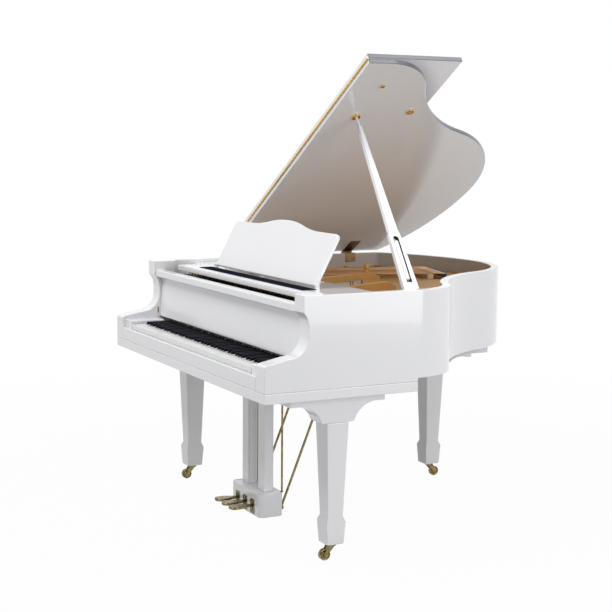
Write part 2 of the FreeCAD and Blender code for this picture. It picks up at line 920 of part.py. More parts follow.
def crest(share):
    """The tall web of a bar: it rises behind the music shelf and falls to the low bar at its far end."""
    first, last = treble_line(share, behind("bar_crest_start").value)
    way = (last - first).normalize()
    finish = first + (last - first) * CREST_RUNS[share]
    fall = first + (finish - first) * CREST_FALL
    low = V(0, 0, plate_top.value)
    low_bar = low + V(0, 0, dim("plate_bar_height").value)
    high = low + V(0, 0, dim("bar_crest_height").value)
    side = V(-way.y, way.x, 0) * dim("plate_bar_width").value
    ramp_end = first + way * dim("bar_crest_ramp").value
    corners = [first + low, ramp_end + high, fall + high, finish + low_bar, finish + low]
    corners = [corner - side / 2 for corner in corners]
    return Part.Face(Part.makePolygon(corners + corners[:1])).extrude(side)


def make_plate():
    start = behind("plate_front").value
    edge = dim("rim_wall").value + dim("plate_clearance").value
    web_back = behind("plate_web_back").value
    face = outline_face(edge, start)
    for window in plate_windows():
        face = face.cut(window)
    low = plate_bottom.value
    panel = prism(face, low, plate_top.value)
    flange_front = behind("belly_depth").value + dim("belly_thickness").value
    flange = ring(edge, edge + dim("plate_flange").value, flange_front, soundboard_top.value, low)
    strut_top = plate_top.value + dim("plate_bar_height").value
    room = prism(outline_face(edge, start), low, strut_top)
    struts = [strut.common(room) for strut in plate_struts(dim("plate_bar_width").value, low, strut_top)]
    bores = []
    for note in range(NOTES):
        base = V(*pin_place(note), low - 1)
        bore_radius = dim("pin_radius").value + dim("pin_clearance").value
        bores.append(Part.makeCylinder(bore_radius, dim("plate_thickness").value + 2, base))
    crests = [crest(share) for share in CREST_RUNS]
    whole = panel.fuse([flange] + struts + crests).removeSplitter()
    node(feature("iron_plate", whole.cut(Part.makeCompound(bores))))
    bolt_radius = dim("bolt_radius").value
    stem_height = dim("knob_stem_height").value
    first, last = treble_line(break_share(0), web_back)
    seat = first + (last - first) * KNOB_SHARE + V(0, 0, plate_top.value + dim("bar_crest_height").value)
    stem = Part.makeCylinder(bolt_radius, stem_height, seat)
    knob = Part.makeCylinder(dim("knob_radius").value, dim("knob_height").value, seat + V(0, 0, stem_height))
    bolts = [stem.fuse(knob).removeSplitter()]
    bolt_inset = edge + dim("plate_flange").value / 2
    rim_line = Part.Wire(outline_edges(bolt_inset, flange_front + bolt_radius * 2))
    for seat in rim_line.discretize(Number=RIM_BOLTS):
        bolt = Part.makeCylinder(bolt_radius, dim("bolt_height").value, seat + V(0, 0, plate_top.value))
        if min(bolt.distToShape(strut)[0] for strut in struts + crests) > bolt_radius / 2:
            bolts.append(bolt)
    node(feature("plate_bolts", Part.makeCompound(bolts)))


def pin_place(note):
    """The plan place of a tuning pin: its wire leaves on the bass side."""
    first, _ = note_line(note)
    return first.x + dim("pin_radius").value + wire_radius(note) + dim("wire_clearance").value, first.y


def make_pin_field():
    block_top = plate_bottom.value - dim("wire_clearance").value
    low = V(-rim_inner.value, behind("plate_front").value, block_top - dim("pin_block_thickness").value)
    depth = dim("pin_block_back").value - dim("plate_front").value
    wood = Part.makeBox(2 * rim_inner.value, depth, dim("pin_block_thickness").value, low)
    pins = []
    bores = []
    for note in range(NOTES):
        foot = V(*pin_place(note), block_top - dim("pin_depth").value)
        length = plate_top.value + dim("pin_height").value - foot.z
        pins.append(Part.makeCylinder(dim("pin_radius").value, length, foot))
        bores.append(Part.makeCylinder(dim("pin_radius").value, length, foot))
    node(feature("pin_block", wood.cut(Part.makeCompound(bores))))
    node(feature("tuning_pins", Part.makeCompound(pins)))


def make_strings():
    wires = [wire_rod(*note_line(note), wire_radius(note)) for note in range(NOTES)]
    node(feature("strings", Part.makeCompound(wires)))


# Keyboard, hammers and dampers
NATURAL_NAMES = ("a", "b", "c", "d", "e", "f", "g")
NATURALS = 52
SHARP_SHIFT = {"a": 4, "c": -3, "d": 3, "f": -4, "g": 0}
PAIR_SHARPS = ("c", "d")
ACTION_STANDS = 5
LAST_DAMPED = 70


def natural_left(index):
    return (index - NATURALS / 2) * dim("natural_pitch").value


def sharp_centre(index):
    """Middle of the black key to the right of a natural, or None where there is none."""
    name = NATURAL_NAMES[index % 7]
    if name not in SHARP_SHIFT or not 0 <= index < NATURALS - 1:
        return None
    return natural_left(index + 1) + SHARP_SHIFT[name]


def natural_key(index):
    space = dim("key_gap").value
    left = natural_left(index) + space / 2
    right = natural_left(index + 1) - space / 2
    notch = behind("sharp_front").value - space
    near = behind("natural_front").value
    far = behind("key_back").value
    reach = dim("sharp_width").value / 2 + space
    below = sharp_centre(index - 1)
    above = sharp_centre(index)
    tail_left = left if below is None else below + reach
    tail_right = right if above is None else above - reach
    bottom = dim("key_bottom").value
    height = dim("natural_height").value
    head = Part.makeBox(right - left, notch - near, height, V(left, near, bottom))
    tail = Part.makeBox(tail_right - tail_left, far - notch, height, V(tail_left, notch, bottom))
    return head.fuse(tail).removeSplitter()


def sharp_key(index):
    middle = sharp_centre(index)
    near = behind("sharp_front").value
    cap_back = behind("sharp_cap_back").value
    bottom = dim("key_bottom").value
    low = dim("sharp_width").value / 2
    top = dim("sharp_top_width").value / 2
    slope = dim("sharp_slope").value
    ridge = bottom + dim("sharp_height").value
    sides = []
    for depth, half_width, height in ((near, low, bottom), (near + slope, top, ridge),
                                      (cap_back, top, ridge), (cap_back, low, bottom)):
        sides.append((V(middle - half_width, depth, height), V(middle + half_width, depth, height)))
    (fl, fr), (tl, tr), (bl, br), (ul, ur) = sides
    loops = ((fl, fr, tr, tl), (tl, tr, br, bl), (bl, br, ur, ul), (ul, ur, fr, fl),
             (fl, tl, bl, ul), (fr, tr, br, ur))
    faces = [Part.Face(Part.makePolygon(list(loop) + [loop[0]])) for loop in loops]
    cap = Part.Solid(Part.Shell(faces))
    if cap.Volume < 0:
        cap.reverse()
    tail = Part.makeBox(2 * low, behind("key_back").value - cap_back, dim("natural_height").value,
                        V(middle - low, cap_back, bottom))
    return cap.fuse(tail).removeSplitter()


def make_keys():
    for offset, name in enumerate(NATURAL_NAMES):
        keys = [natural_key(index) for index in range(offset, NATURALS, 7)]
        node(feature("natural_%s_keys" % name, Part.makeCompound(keys)))
    pair = []
    triple = []
    for index in range(NATURALS):
        if sharp_centre(index) is not None:
            target = pair if NATURAL_NAMES[index % 7] in PAIR_SHARPS else triple
            target.append(sharp_key(index))
    node(feature("black_pair_keys", Part.makeCompound(pair)))
    node(feature("black_triple_keys", Part.makeCompound(triple)))


def make_key_frame():
    side = dim("natural_pitch") * (NATURALS / 2)
    base_bottom = keybed_top + gap
    base_top = base_bottom + dim("frame_thickness")
    rail_front = behind("hammer_rail_depth")
    rail_size = dim("hammer_rail_size")
    rail_back = rail_front + rail_size
    rail_bottom = dim("hammer_rail_height")
    near = behind("natural_front") + dim("frame_setback")
    base = block("frame_base", (-side, side), (near, rail_back + dim("frame_tail")), (base_bottom, base_top))
    middle = behind("balance_depth")
    balance_half = dim("balance_width") / 2
    balance_top = dim("key_bottom") - dim("key_float")
    balance = block("balance_rail", (-side, side), (middle - balance_half, middle + balance_half),
                    (base_top, balance_top))
    rail_side = dim("hammer_rail_half_width")
    rail_top = rail_bottom + rail_size
    rail = block("hammer_rail", (-rail_side, rail_side), (rail_front, rail_back), (rail_bottom, rail_top))
    stand_half = dim("action_stand_width") / 2
    reach = side - stand_half * 2
    stands = []
    for count in range(ACTION_STANDS):
        centre = reach * (2 * count / (ACTION_STANDS - 1) - 1)
        stands.append(block("action_stand_%d" % count, (centre - stand_half, centre + stand_half),
                            (rail_front, rail_back), (base_top, rail_bottom)))
    node(fuse("key_frame", base, balance, rail, *stands))


def make_hammers():
    hammers = []
    rail_back = behind("hammer_rail_depth").value + dim("hammer_rail_size").value
    strike = behind("hammer_strike").value
    shank_width = dim("shank_width").value
    shank_low = dim("hammer_rail_height").value + dim("hammer_rail_size").value / 2
    width = dim("hammer_width").value
    length = dim("hammer_length").value
    felt_bottom = shank_low - shank_width
    for note in range(NOTES):
        middle = at_depth(note, strike).x
        shank_start = V(middle - shank_width / 2, rail_back, shank_low)
        shank = Part.makeBox(shank_width, strike - rail_back, shank_width, shank_start)
        felt_low = V(middle - width / 2, strike - length / 2, felt_bottom)
        felt = Part.makeBox(width, length, dim("hammer_top").value - felt_bottom, felt_low)
        hammers.append(shank.fuse(felt).removeSplitter())
    node(feature("hammers", Part.makeCompound(hammers)))


def make_dampers():
    pieces = []
    depth = behind("damper_depth").value
    length = dim("damper_length").value
    width = dim("damper_width").value
    near = depth - length / 2
    rail_top = dim("damper_rail_top").value
    rail_size = dim("damper_rail_size").value
    stem_radius = dim("damper_stem_radius").value
    stem_depth = near + rail_size / 4
    for note in range(LAST_DAMPED):
        middle = at_depth(note, depth)
        rest = middle.z + wire_radius(note) + dim("damper_clearance").value
        head = Part.makeBox(width, length, dim("damper_height").value, V(middle.x - width / 2, near, rest))
        passing = at_depth(note, stem_depth).x
        stem_side = passing + math.copysign(wire_radius(note) + 2 * stem_radius, middle.x - passing)
        stem_top = rest + stem_radius
        stem = Part.makeCylinder(stem_radius, stem_top - rail_top, V(stem_side, stem_depth, rail_top))
        pieces.append(head.fuse(stem).removeSplitter())
    ends = [at_depth(note, depth).x for note in (0, LAST_DAMPED - 1)]
    low = V(ends[0] - rail_size, near - rail_size / 4, rail_top - rail_size)
    pieces.append(Part.makeBox(ends[1] - ends[0] + 2 * rail_size, rail_size, rail_size, low))
    node(feature("dampers", Part.makeCompound(pieces)))


# Fallboard and music rest
def make_fallboard():
    side = arm_inner - dim("fallboard_end_gap")
    half_thick = dim("fallboard_thickness") / 2
    pivot_height = dim("fallboard_pivot_height")
    board = block("fallboard_board", (-side, side), (-half_thick, half_thick),
                  (dim("fallboard_bottom") - pivot_height, dim("fallboard_top") - pivot_height))
    reach = arm_inner + dim("fallboard_pivot_reach")
    pivot = rod("fallboard_pivot", "x", dim("fallboard_pivot_radius"), (-reach, 0, 0), reach * 2)
    fallboard = fuse("fallboard", board, pivot)
    turn(fallboard, V(-1, 0, 0), dim("fallboard_lean"))
    place(fallboard, 0, fallboard_pivot_depth, pivot_height)
    node(fallboard)


def make_shelf():
    bottom = dim("shelf_bottom")
    top = bottom + dim("shelf_thickness")
    side = dim("shelf_half_width")
    wing = dim("shelf_wing_half_width")
    near = behind("shelf_front")
    far = behind("shelf_back")
    tongue = block("shelf_tongue", (-side, side), (near, far), (bottom, top))
    wings = block("shelf_wings", (-wing, wing), (behind("shelf_wing_front"), far), (bottom, top))
    whole = fuse("shelf_board", tongue, wings)
    pivot = behind("desk_pivot_depth")
    groove_near = pivot + dim("desk_strut_height") / 2
    groove_half = dim("strut_lug_spread") / 2 + dim("groove_clearance")
    grooves = []
    for sign in (-1, 1):
        centre = dim("desk_strut_spread") * sign
        grooves.append(block("strut_groove_%d" % (sign + 1), (centre - groove_half, centre + groove_half),
                             (groove_near, far + 1), (groove_floor, top + 1)))
        grooves.append(block("groove_step_%d" % (sign + 1), (centre - groove_half, centre + groove_half),
                             (behind("groove_step_depth"), far + 1),
                             (groove_floor - dim("groove_step_drop"), top + 1)))
    lugs = []
    reach = dim("desk_pin_reach")
    lug_width = dim("desk_stand_width")
    lug_half = dim("desk_stand_depth") / 2
    lug_top = desk_pivot_height + dim("desk_thickness") / 2
    for sign in (-1, 1):
        inner = (dim("desk_half_width") + dim("desk_side_gap")) * sign
        outer = inner + lug_width * sign
        span = (outer, inner) if sign < 0 else (inner, outer)
        lugs.append(block("desk_stand_%d" % (sign + 1), span, (pivot - lug_half, pivot + lug_half),
                          (top, lug_top)))
        start = outer if sign < 0 else inner - reach
        lugs.append(rod("desk_pivot_%d" % (sign + 1), "x", dim("desk_pin_radius"),
                        (start, pivot, desk_pivot_height), reach + lug_width))
    node(fuse("music_shelf", cut("shelf_grooved", whole, *grooves), *lugs))
    strip_near = near + dim("strip_setback")
    strip_side = dim("strip_half_width")
    node(block("ledge_strip", (-strip_side, strip_side), (strip_near, strip_near + dim("strip_depth")),
               (top, top + dim("strip_thickness"))))
    rails = []
    rail_front = behind("shelf_wing_front") - dim("shelf_rail_front")
    for sign in (-1, 1):
        inner = rim_inner - dim("shelf_rail_width")
        span = (-rim_inner, -inner) if sign < 0 else (inner, rim_inner)
        rails.append(block("shelf_rail_%d" % (sign + 1), span, (rail_front, far + dim("shelf_rail_tail")),
                           (plate_top, bottom - gap)))
    node(group("shelf_rails", *rails))


def desk_frame(obj):
    """Stands a piece that was drawn lying flat behind the desk pivot."""
    turn(obj, V(1, 0, 0), 90 - dim("desk_lean"))
    place(obj, 0, behind("desk_pivot_depth"), desk_pivot_height)


shelf_top = dim("shelf_bottom") + dim("shelf_thickness")
desk_pivot_height = shelf_top + dim("desk_thickness") / 2 + dim("desk_lift")
groove_floor = dim("shelf_bottom") + dim("groove_skin")


def make_desk():
    side = dim("desk_half_width")
    tall = dim("desk_height")
    corner = dim("desk_corner_radius")
    arch = dim("desk_arch")
    width = side * 2
    start = dim("desk_shoulder")
    quarter = (side - start) / 2
    swing = (quarter * quarter + arch * arch / 4) / arch
    outline = [
        (0, 0),
        (width, 0),
        (width, tall - corner),
        (width - corner, tall, corner),
        (width - start, tall),
        (width - start - quarter, tall + arch / 2, -swing),
        (side, tall + arch, swing),
        (start + quarter, tall + arch / 2, swing),
        (start, tall, -swing),
        (corner, tall),
        (0, tall - corner, corner),
    ]
    thick = dim("desk_thickness")
    desk = pad("desk_panel", "XY_Plane", outline, (-side, 0), -thick / 2, thick)
    desk_frame(desk)
    lugs = []
    spread = dim("strut_lug_spread")
    lug_width = dim("strut_lug_width")
    lug_depth = dim("strut_lug_depth")
    rise = dim("desk_strut_height")
    for sign in (-1, 1):
        left = dim("desk_strut_spread") * sign - spread / 2
        for count, edge in enumerate((left, left + spread - lug_width)):
            lugs.append(block("desk_lug_%d_%d" % (sign + 1, count), (edge, edge + lug_width),
                              (rise - lug_depth / 2, rise + lug_depth / 2),
                              (-thick / 2 - lug_depth, -thick / 2)))
        lugs.append(rod("desk_pin_%d" % (sign + 1), "x", dim("strut_pin_radius"),
                        (left, rise, -thick / 2 - dim("strut_pin_drop")), spread))
    hardware = fuse("desk_hardware", *lugs)
    desk_frame(hardware)
    reach = dim("desk_pin_reach")
    bores = []
    for sign in (-1, 1):
        start = side * sign - (reach + gap) * max(sign, 0) - (1 - max(sign, 0))
        bores.append(rod("desk_bore_%d" % (sign + 1), "x", dim("desk_pin_radius") + gap, (start, 0, 0),
                         reach + gap + 1))
    sockets = group("desk_bores", *bores)
    desk_frame(sockets)
    node(cut("music_desk", fuse("desk_with_lugs", desk, hardware), sockets))


def make_desk_struts():
    """Each strut is drawn hanging on its own pivot, then swung back as far as the desk leans."""
    lean = dim("desk_lean")
    drop = dim("desk_thickness") / 2 + dim("strut_pin_drop")
    rise = dim("desk_strut_height")
    pivot_depth = behind("desk_pivot_depth") + rise * sine(lean) + drop * cosine(lean)
    pivot_height = desk_pivot_height + rise * cosine(lean) - drop * sine(lean)
    half_width = dim("strut_width") / 2
    half_thick = dim("strut_thickness") / 2
    foot_height = groove_floor + dim("strut_foot_gap") + half_thick * sine(lean)
    length = (pivot_height - foot_height) / cosine(lean)
    struts = []
    for sign in (-1, 1):
        centre = dim("desk_strut_spread") * sign
        stick = block("strut_stick_%d" % (sign + 1), (-half_width, half_width), (-half_thick, half_thick),
                      (-length, as_size(0)))
        eye = rod("strut_eye_%d" % (sign + 1), "x", half_thick + gap, (-half_width, 0, 0), half_width * 2)
        bore = rod("strut_bore_%d" % (sign + 1), "x", dim("strut_pin_radius") + gap, (-half_width * 2, 0, 0),
                   half_width * 4)
        strut = cut("desk_strut_%d" % (sign + 1), fuse("strut_body_%d" % (sign + 1), stick, eye), bore)
        turn(strut, V(1, 0, 0), lean)
        place(strut, centre, pivot_depth, pivot_height)
        struts.append(strut)
    node(group("desk_struts", *struts))


# Lid, drawn closed on its hinge axis and then opened
lid_axis_side = -half - dim("lid_hinge_offset")
lid_axis_height = rim_top + dim("lid_gap") / 2
lid_low = dim("lid_gap") / 2
lid_high = lid_low + dim("lid_thickness")
flap_axis = lid_high + dim("flap_rest_gap") / 2
lid_far = half - lid_axis_side + dim("lid_overhang")
seam_gap = dim("flap_seam_gap")


def open_lid(obj):
    turn(obj, V(0, -1, 0), dim("lid_angle"))
    place(obj, lid_axis_side, 0, lid_axis_height)
    return obj


def make_lid():
    start = behind("flap_seam").value + seam_gap.value
    board = outline_face(-dim("lid_overhang").value, start)
    reach = 2 * dim("case_width").value
    inside = Part.makePlane(reach, reach, V(-half.value, start, 0))
    board = prism(board.common(inside), lid_low.value, lid_high.value)
    lid = feature("lid_board", board.translated(V(-lid_axis_side.value, 0, 0)))
    node(open_lid(group("lid_main", lid)))
    seam = behind("flap_seam")
    across = (dim("lid_hinge_offset"), lid_far)
    heights = (flap_axis * 2 - lid_high, flap_axis * 2 - lid_low)
    flap = block("flap_board", across, (seam + seam_gap, seam + dim("flap_depth")), heights)
    node(open_lid(group("lid_flap", flap)))


FLAP_KNUCKLES = 12


def make_flap_hinge():
    """A long hinge whose knuckles alternate between the lid leaf and the flap leaf."""
    near = dim("lid_hinge_offset")
    step = (lid_far - near) / FLAP_KNUCKLES
    radius = dim("flap_hinge_radius")
    seam = behind("flap_seam")
    leaf_back = seam + seam_gap
    leaf_depth = (leaf_back - radius, leaf_back)
    reach = dim("flap_leaf_height")
    room = radius + gap * 2
    wire_radius = dim("flap_wire_radius")
    heights = {
        "flap_hinge_rear": (flap_axis - reach, flap_axis),
        "flap_hinge_front": (flap_axis, flap_axis + reach),
    }
    for turn_number, name in enumerate(heights):
        low, high = heights[name]
        leaf = block(name + "_leaf", (near, lid_far), leaf_depth, (low, high))
        own = []
        clear = []
        for count in range(FLAP_KNUCKLES):
            left = near + step * count
            if count % 2 == turn_number:
                own.append(rod("%s_knuckle_%d" % (name, count), "x", radius, (left, seam, flap_axis), step))
            else:
                side = (left - gap, left + step + gap)
                clear.append(block("%s_relief_%d" % (name, count), side,
                                   (seam - room, leaf_back - dim("flap_leaf_thickness")),
                                   (flap_axis - room, flap_axis + room)))
                clear.append(rod("%s_room_%d" % (name, count), "x", radius + gap,
                                 (left - gap, seam, flap_axis), step + gap * 2))
        solid = fuse(name + "_body", leaf, *own)
        solid = cut(name + "_relieved", solid, group(name + "_clear", *clear))
        bore_radius = wire_radius + gap * turn_number
        wire = rod(name + "_wire", "x", bore_radius, (near, seam, flap_axis), lid_far - near)
        if turn_number == 0:
            solid = fuse(name, solid, wire)
        else:
            solid = cut(name, solid, wire)
        node(open_lid(solid))


def make_lid_hinges():
    length = dim("lid_hinge_length")
    radius = dim("lid_hinge_radius")
    third = length / 3
    leaf = dim("lid_hinge_leaf")
    pin_radius = dim("lid_hinge_pin_radius")
    wall = -rim_inner
    lower = []
    upper = []
    for name, depth in (("back", behind("lid_hinge_back")), ("front", behind("lid_hinge_front"))):
        low = depth - length / 2
        high = depth + length / 2
        leaf_top = lid_axis_height - gap / 2
        across = block("rim_leaf_" + name, (lid_axis_side, wall + leaf), (low, high), (rim_top, leaf_top))
        down = block("rim_drop_" + name, (wall, wall + leaf), (low, high),
                     (rim_top - dim("lid_hinge_drop"), leaf_top))
        room = rod("rim_room_" + name, "y", radius + gap, (lid_axis_side, low + third - gap, lid_axis_height),
                   third + gap * 2)
        ends = [rod("rim_knuckle_%s_%d" % (name, n), "y", radius,
                    (lid_axis_side, low + third * n, lid_axis_height), third) for n in (0, 2)]
        pin = rod("rim_pin_" + name, "y", pin_radius, (lid_axis_side, low, lid_axis_height), length)
        plate = cut("rim_plate_" + name, fuse("rim_leaves_" + name, across, down, *ends), room)
        lower.append(fuse("rim_hinge_" + name, plate, pin))
        strap = block("lid_leaf_" + name, (0, dim("lid_hinge_strap")), (low, high), (gap / 2, lid_low))
        eye = rod("lid_eye_" + name, "y", radius, (0, low + third, 0), third)
        bore = rod("lid_bore_" + name, "y", pin_radius + gap, (0, low - 1, 0), length + 2)
        rooms = [rod("lid_room_%s_%d" % (name, n), "y", radius + gap, (0, low + third * n - gap, 0),
                     third + gap * 2) for n in (0, 2)]
        upper.append(cut("lid_hinge_" + name, fuse("lid_leaves_" + name, strap, eye),
                         group("lid_rooms_" + name, *rooms), bore))
    node(group("lid_hinge_lower", *lower))
    node(open_lid(group("lid_hinge_upper", *upper)))


# Prop
SOCKET_TURN = 45


def make_lid_fittings():
    along = dim("prop_socket_along")
    depth = behind("prop_depth")
    radius = dim("socket_radius")
    height = dim("socket_height")
    well_radius = dim("prop_tip_radius") + dim("socket_clearance")
    cup = rod("socket_cup", "z", radius, (along, depth, lid_low - height), height)
    well = rod("socket_well", "z", well_radius, (along, depth, lid_low - height - 1), height + 2)
    room = radius * 2
    mouth = block("socket_mouth", (-room, as_size(0)), (-room, room), (-height - 1, as_size(1)))
    turn(mouth, V(0, 0, -1), SOCKET_TURN)
    place(mouth, along, depth, lid_low)
    socket = cut("prop_socket", cup, well, mouth)
    small_height = dim("small_cup_height")
    small_radius = dim("small_cup_radius")
    small_well = small_radius - (radius - well_radius)
    spot = (along + dim("small_cup_along"), depth + dim("small_cup_back"), lid_low - small_height)
    second = rod("half_stick_cup", "z", small_radius, spot, small_height)
    second_well = rod("half_stick_well", "z", small_well, (spot[0], spot[1], spot[2] - 1), small_height)
    bumper_spot = (along + dim("bumper_along"), depth + dim("bumper_back"), lid_low - small_height)
    bumper = rod("lid_bumper", "z", dim("bumper_radius"), bumper_spot, small_height)
    node(open_lid(group("lid_fittings", socket, cut("second_socket", second, second_well), bumper)))


prop_tip_low = lid_low - dim("prop_tip_gap")
prop_tip_side = (lid_axis_side + dim("prop_socket_along") * cosine(dim("lid_angle"))
                 - prop_tip_low * sine(dim("lid_angle")))
prop_tip_height = (lid_axis_height + dim("prop_socket_along") * sine(dim("lid_angle"))
                   + prop_tip_low * cosine(dim("lid_angle")))
prop_run = dim("prop_base_side") - prop_tip_side
prop_rise = prop_tip_height - dim("prop_base_height")
prop_length = root(prop_run * prop_run + prop_rise * prop_rise)
prop_lean = arctangent(prop_run / prop_rise)
FOLD_HEADING = V(-0.766, 0.643, 0)


def stand_prop(obj):
    turn(obj, V(0, -1, 0), prop_lean)
    place(obj, dim("prop_base_side"), behind("prop_depth"), dim("prop_base_height"))
    return obj


def prop_axis():
    """Direction of the prop's pivot pin, square to the raised stick and to its folded heading."""
    lean = math.radians(prop_lean.value)
    raised = V(-math.sin(lean), 0, math.cos(lean))
    return FOLD_HEADING.cross(raised).normalize()


def make_prop():
    wide = dim("prop_base_width") / 2
    slim = dim("prop_top_width") / 2
    thick = dim("prop_thickness")
    foot = dim("prop_foot")
    edge = dim("prop_chamfer")
    shoulder = prop_length - dim("prop_tip_length")
    inset = dim("half_stick_inset")
    stick_foot = dim("half_stick_foot")
    slot_side = dim("half_stick_width") / 2 + inset
    slot_top = stick_foot + dim("half_stick_length") + dim("half_stick_room")
    paddle = dim("prop_paddle_width") / 2
    paddle_top = foot + slot_top + dim("prop_paddle_rise")
    neck = dim("prop_neck_width") / 2
    neck_foot = paddle_top + dim("prop_paddle_rise")
    outline = [
        (0, foot, -wide * ROUND_END),
        (wide - paddle, paddle_top),
        (wide - neck, neck_foot),
        (wide - slim, shoulder),
        (wide - slim + edge, shoulder + edge),
        (wide + slim - edge, shoulder + edge),
        (wide + slim, shoulder),
        (wide + neck, neck_foot),
        (wide + paddle, paddle_top),
        (wide * 2, foot),
    ]
    stick = pad("prop_stick", "YZ_Plane", outline, (-wide, -foot), -thick / 2, thick)
    tip_seat = dim("prop_tip_seat")
    tip = rod("prop_tip", "z", dim("prop_tip_radius"), (0, 0, shoulder - tip_seat),
              tip_seat + dim("prop_tip_length"))
    pin_radius = dim("half_stick_pin_radius")
    slot_head = slot_top - slot_side
    slot_run = block("slot_run", (-thick, thick), (-slot_side, slot_side), (dim("slot_foot"), slot_head))
    slot_end = rod("slot_end", "x", slot_side, (-thick, 0, slot_head), thick * 2)
    slot = fuse("prop_slot", slot_run, slot_end)
    pin = rod("half_stick_pin", "y", pin_radius, (0, -slot_side, stick_foot), slot_side * 2)
    body = cut("prop_slotted", fuse("prop_whole", stick, tip), slot)
    whole = stand_prop(fuse("prop_raised", body, pin))
    axis = prop_axis()
    bore = doc.addObject("Part::Cylinder", "prop_bore")
    bind(bore, "Radius", dim("prop_pin_radius") + gap)
    bind(bore, "Height", dim("prop_base_width") * 2)
    heading = FreeCAD.Rotation(UP, axis)
    bore.Placement = FreeCAD.Placement(prop_base() - axis * dim("prop_base_width").value, heading)
    node(cut("lid_prop", whole, bore))
    width = dim("half_stick_width")
    half_thick = thick / 2 - inset
    stick_head = stick_foot + dim("half_stick_length") - width / 2
    blade = block("half_blade", (-half_thick, half_thick), (-width / 2, width / 2), (stick_foot, stick_head))
    nose = rod("half_nose", "x", width / 2, (-half_thick, 0, stick_head), half_thick * 2)
    heel = rod("half_heel", "y", half_thick, (0, -width / 2, stick_foot), width)
    eye = rod("half_eye", "y", pin_radius + gap, (0, -width, stick_foot), width * 2)
    node(stand_prop(cut("half_stick", fuse("half_body", blade, nose, heel), eye)))


def prop_base():
    return V(dim("prop_base_side").value, behind("prop_depth").value, dim("prop_base_height").value)


def make_prop_bracket():
    axis = prop_axis()
    base = prop_base()
    radius = dim("bracket_post_radius").value
    reach = dim("bracket_pin_reach").value
    low_end = base - axis * dim("bracket_post_reach").value
    pin_end = base + axis * reach
    arm = wire_rod(low_end, base - axis * (reach - 1), radius)
    pin = wire_rod(low_end, pin_end, dim("prop_pin_radius").value)
    head_end = pin_end + axis * dim("bracket_head_height").value
    head = wire_rod(pin_end, head_end, dim("bracket_head_radius").value)
    foot = V(low_end.x, low_end.y, plate_top.value)
    post = Part.makeCylinder(radius, low_end.z - foot.z, foot)
    knee = Part.makeSphere(radius, low_end)
    flange = Part.makeCylinder(dim("bracket_flange_radius").value, dim("bracket_flange_height").value, foot)
    bracket = flange.fuse([post, knee, arm, pin, head]).removeSplitter()
    node(feature("prop_bracket", bracket))


# Legs and casters
def leg_places():
    spread = dim("leg_spread")
    return {
        "bass": (-spread, behind("leg_depth"), -1),
        "treble": (spread, behind("leg_depth"), -1),
        "tail": (-dim("tail_leg_left"), behind("tail_leg_depth"), 1),
    }


def square_taper(name, low, high, bottom, top, where):
    """A square post that changes width between two heights."""
    obj = doc.addObject("Part::Wedge", name)
    turn(obj, V(1, 0, 0), 90)
    for prop, size in (("Xmin", -low / 2), ("Xmax", low / 2), ("Zmin", -low / 2), ("Zmax", low / 2),
                       ("X2min", -high / 2), ("X2max", high / 2), ("Z2min", -high / 2), ("Z2max", high / 2),
                       ("Ymin", as_size(0)), ("Ymax", top - bottom)):
        bind(obj, prop, size)
    place(obj, where[0], where[1], bottom)
    return obj


def make_legs(seat):
    legs = []
    brackets = [feature("tail_seat", seat)]
    for name, where in leg_places().items():
        low = dim("leg_low_height")
        foot_top = dim("foot_height")
        shaft = square_taper(name + "_shaft", dim("leg_low_width"), dim("leg_top_width"), low,
                             dim("leg_top_height"), where)
        neck = square_taper(name + "_neck", dim("foot_width"), dim("leg_low_width"), foot_top, low, where)
        foot = square_taper(name + "_foot", dim("foot_low_width"), dim("foot_width"), dim("leg_bottom"),
                            foot_top, where)
        socket = rod(name + "_socket", "z", dim("stem_radius") + gap,
                     (where[0], where[1], dim("leg_bottom") - 1), dim("stem_length") + 2)
        legs.append(cut(name + "_leg", fuse(name + "_post", shaft, neck, foot), socket))
        length = dim("bracket_length")
        at_tail = name == "tail"
        top = dim("tail_seat_bottom" if at_tail else "keybed_bottom") - dim("leg_top_height")
        end = dim("tail_bracket_end" if at_tail else "bracket_end_height")
        width = dim("leg_top_width")
        cove = dim("bracket_cove_length")
        swing = dim("bracket_cove_radius")
        foot_near = (length - width) / 2 - dim("bracket_foot")
        foot_far = length - foot_near
        profile = [
            (0, top - end),
            (foot_near - cove, top - end),
            (foot_near, 0, -swing),
            (foot_far, 0),
            (foot_far + cove, top - end, -swing),
            (length, top - end),
            (length, top),
            (0, top),
        ]
        origin = (where[1] - length / 2, dim("leg_top_height"))
        brackets.append(pad(name + "_bracket", "YZ_Plane", profile, origin, where[0] - width / 2, width))
    node(group("legs", *legs))
    node(group("leg_brackets", *brackets))


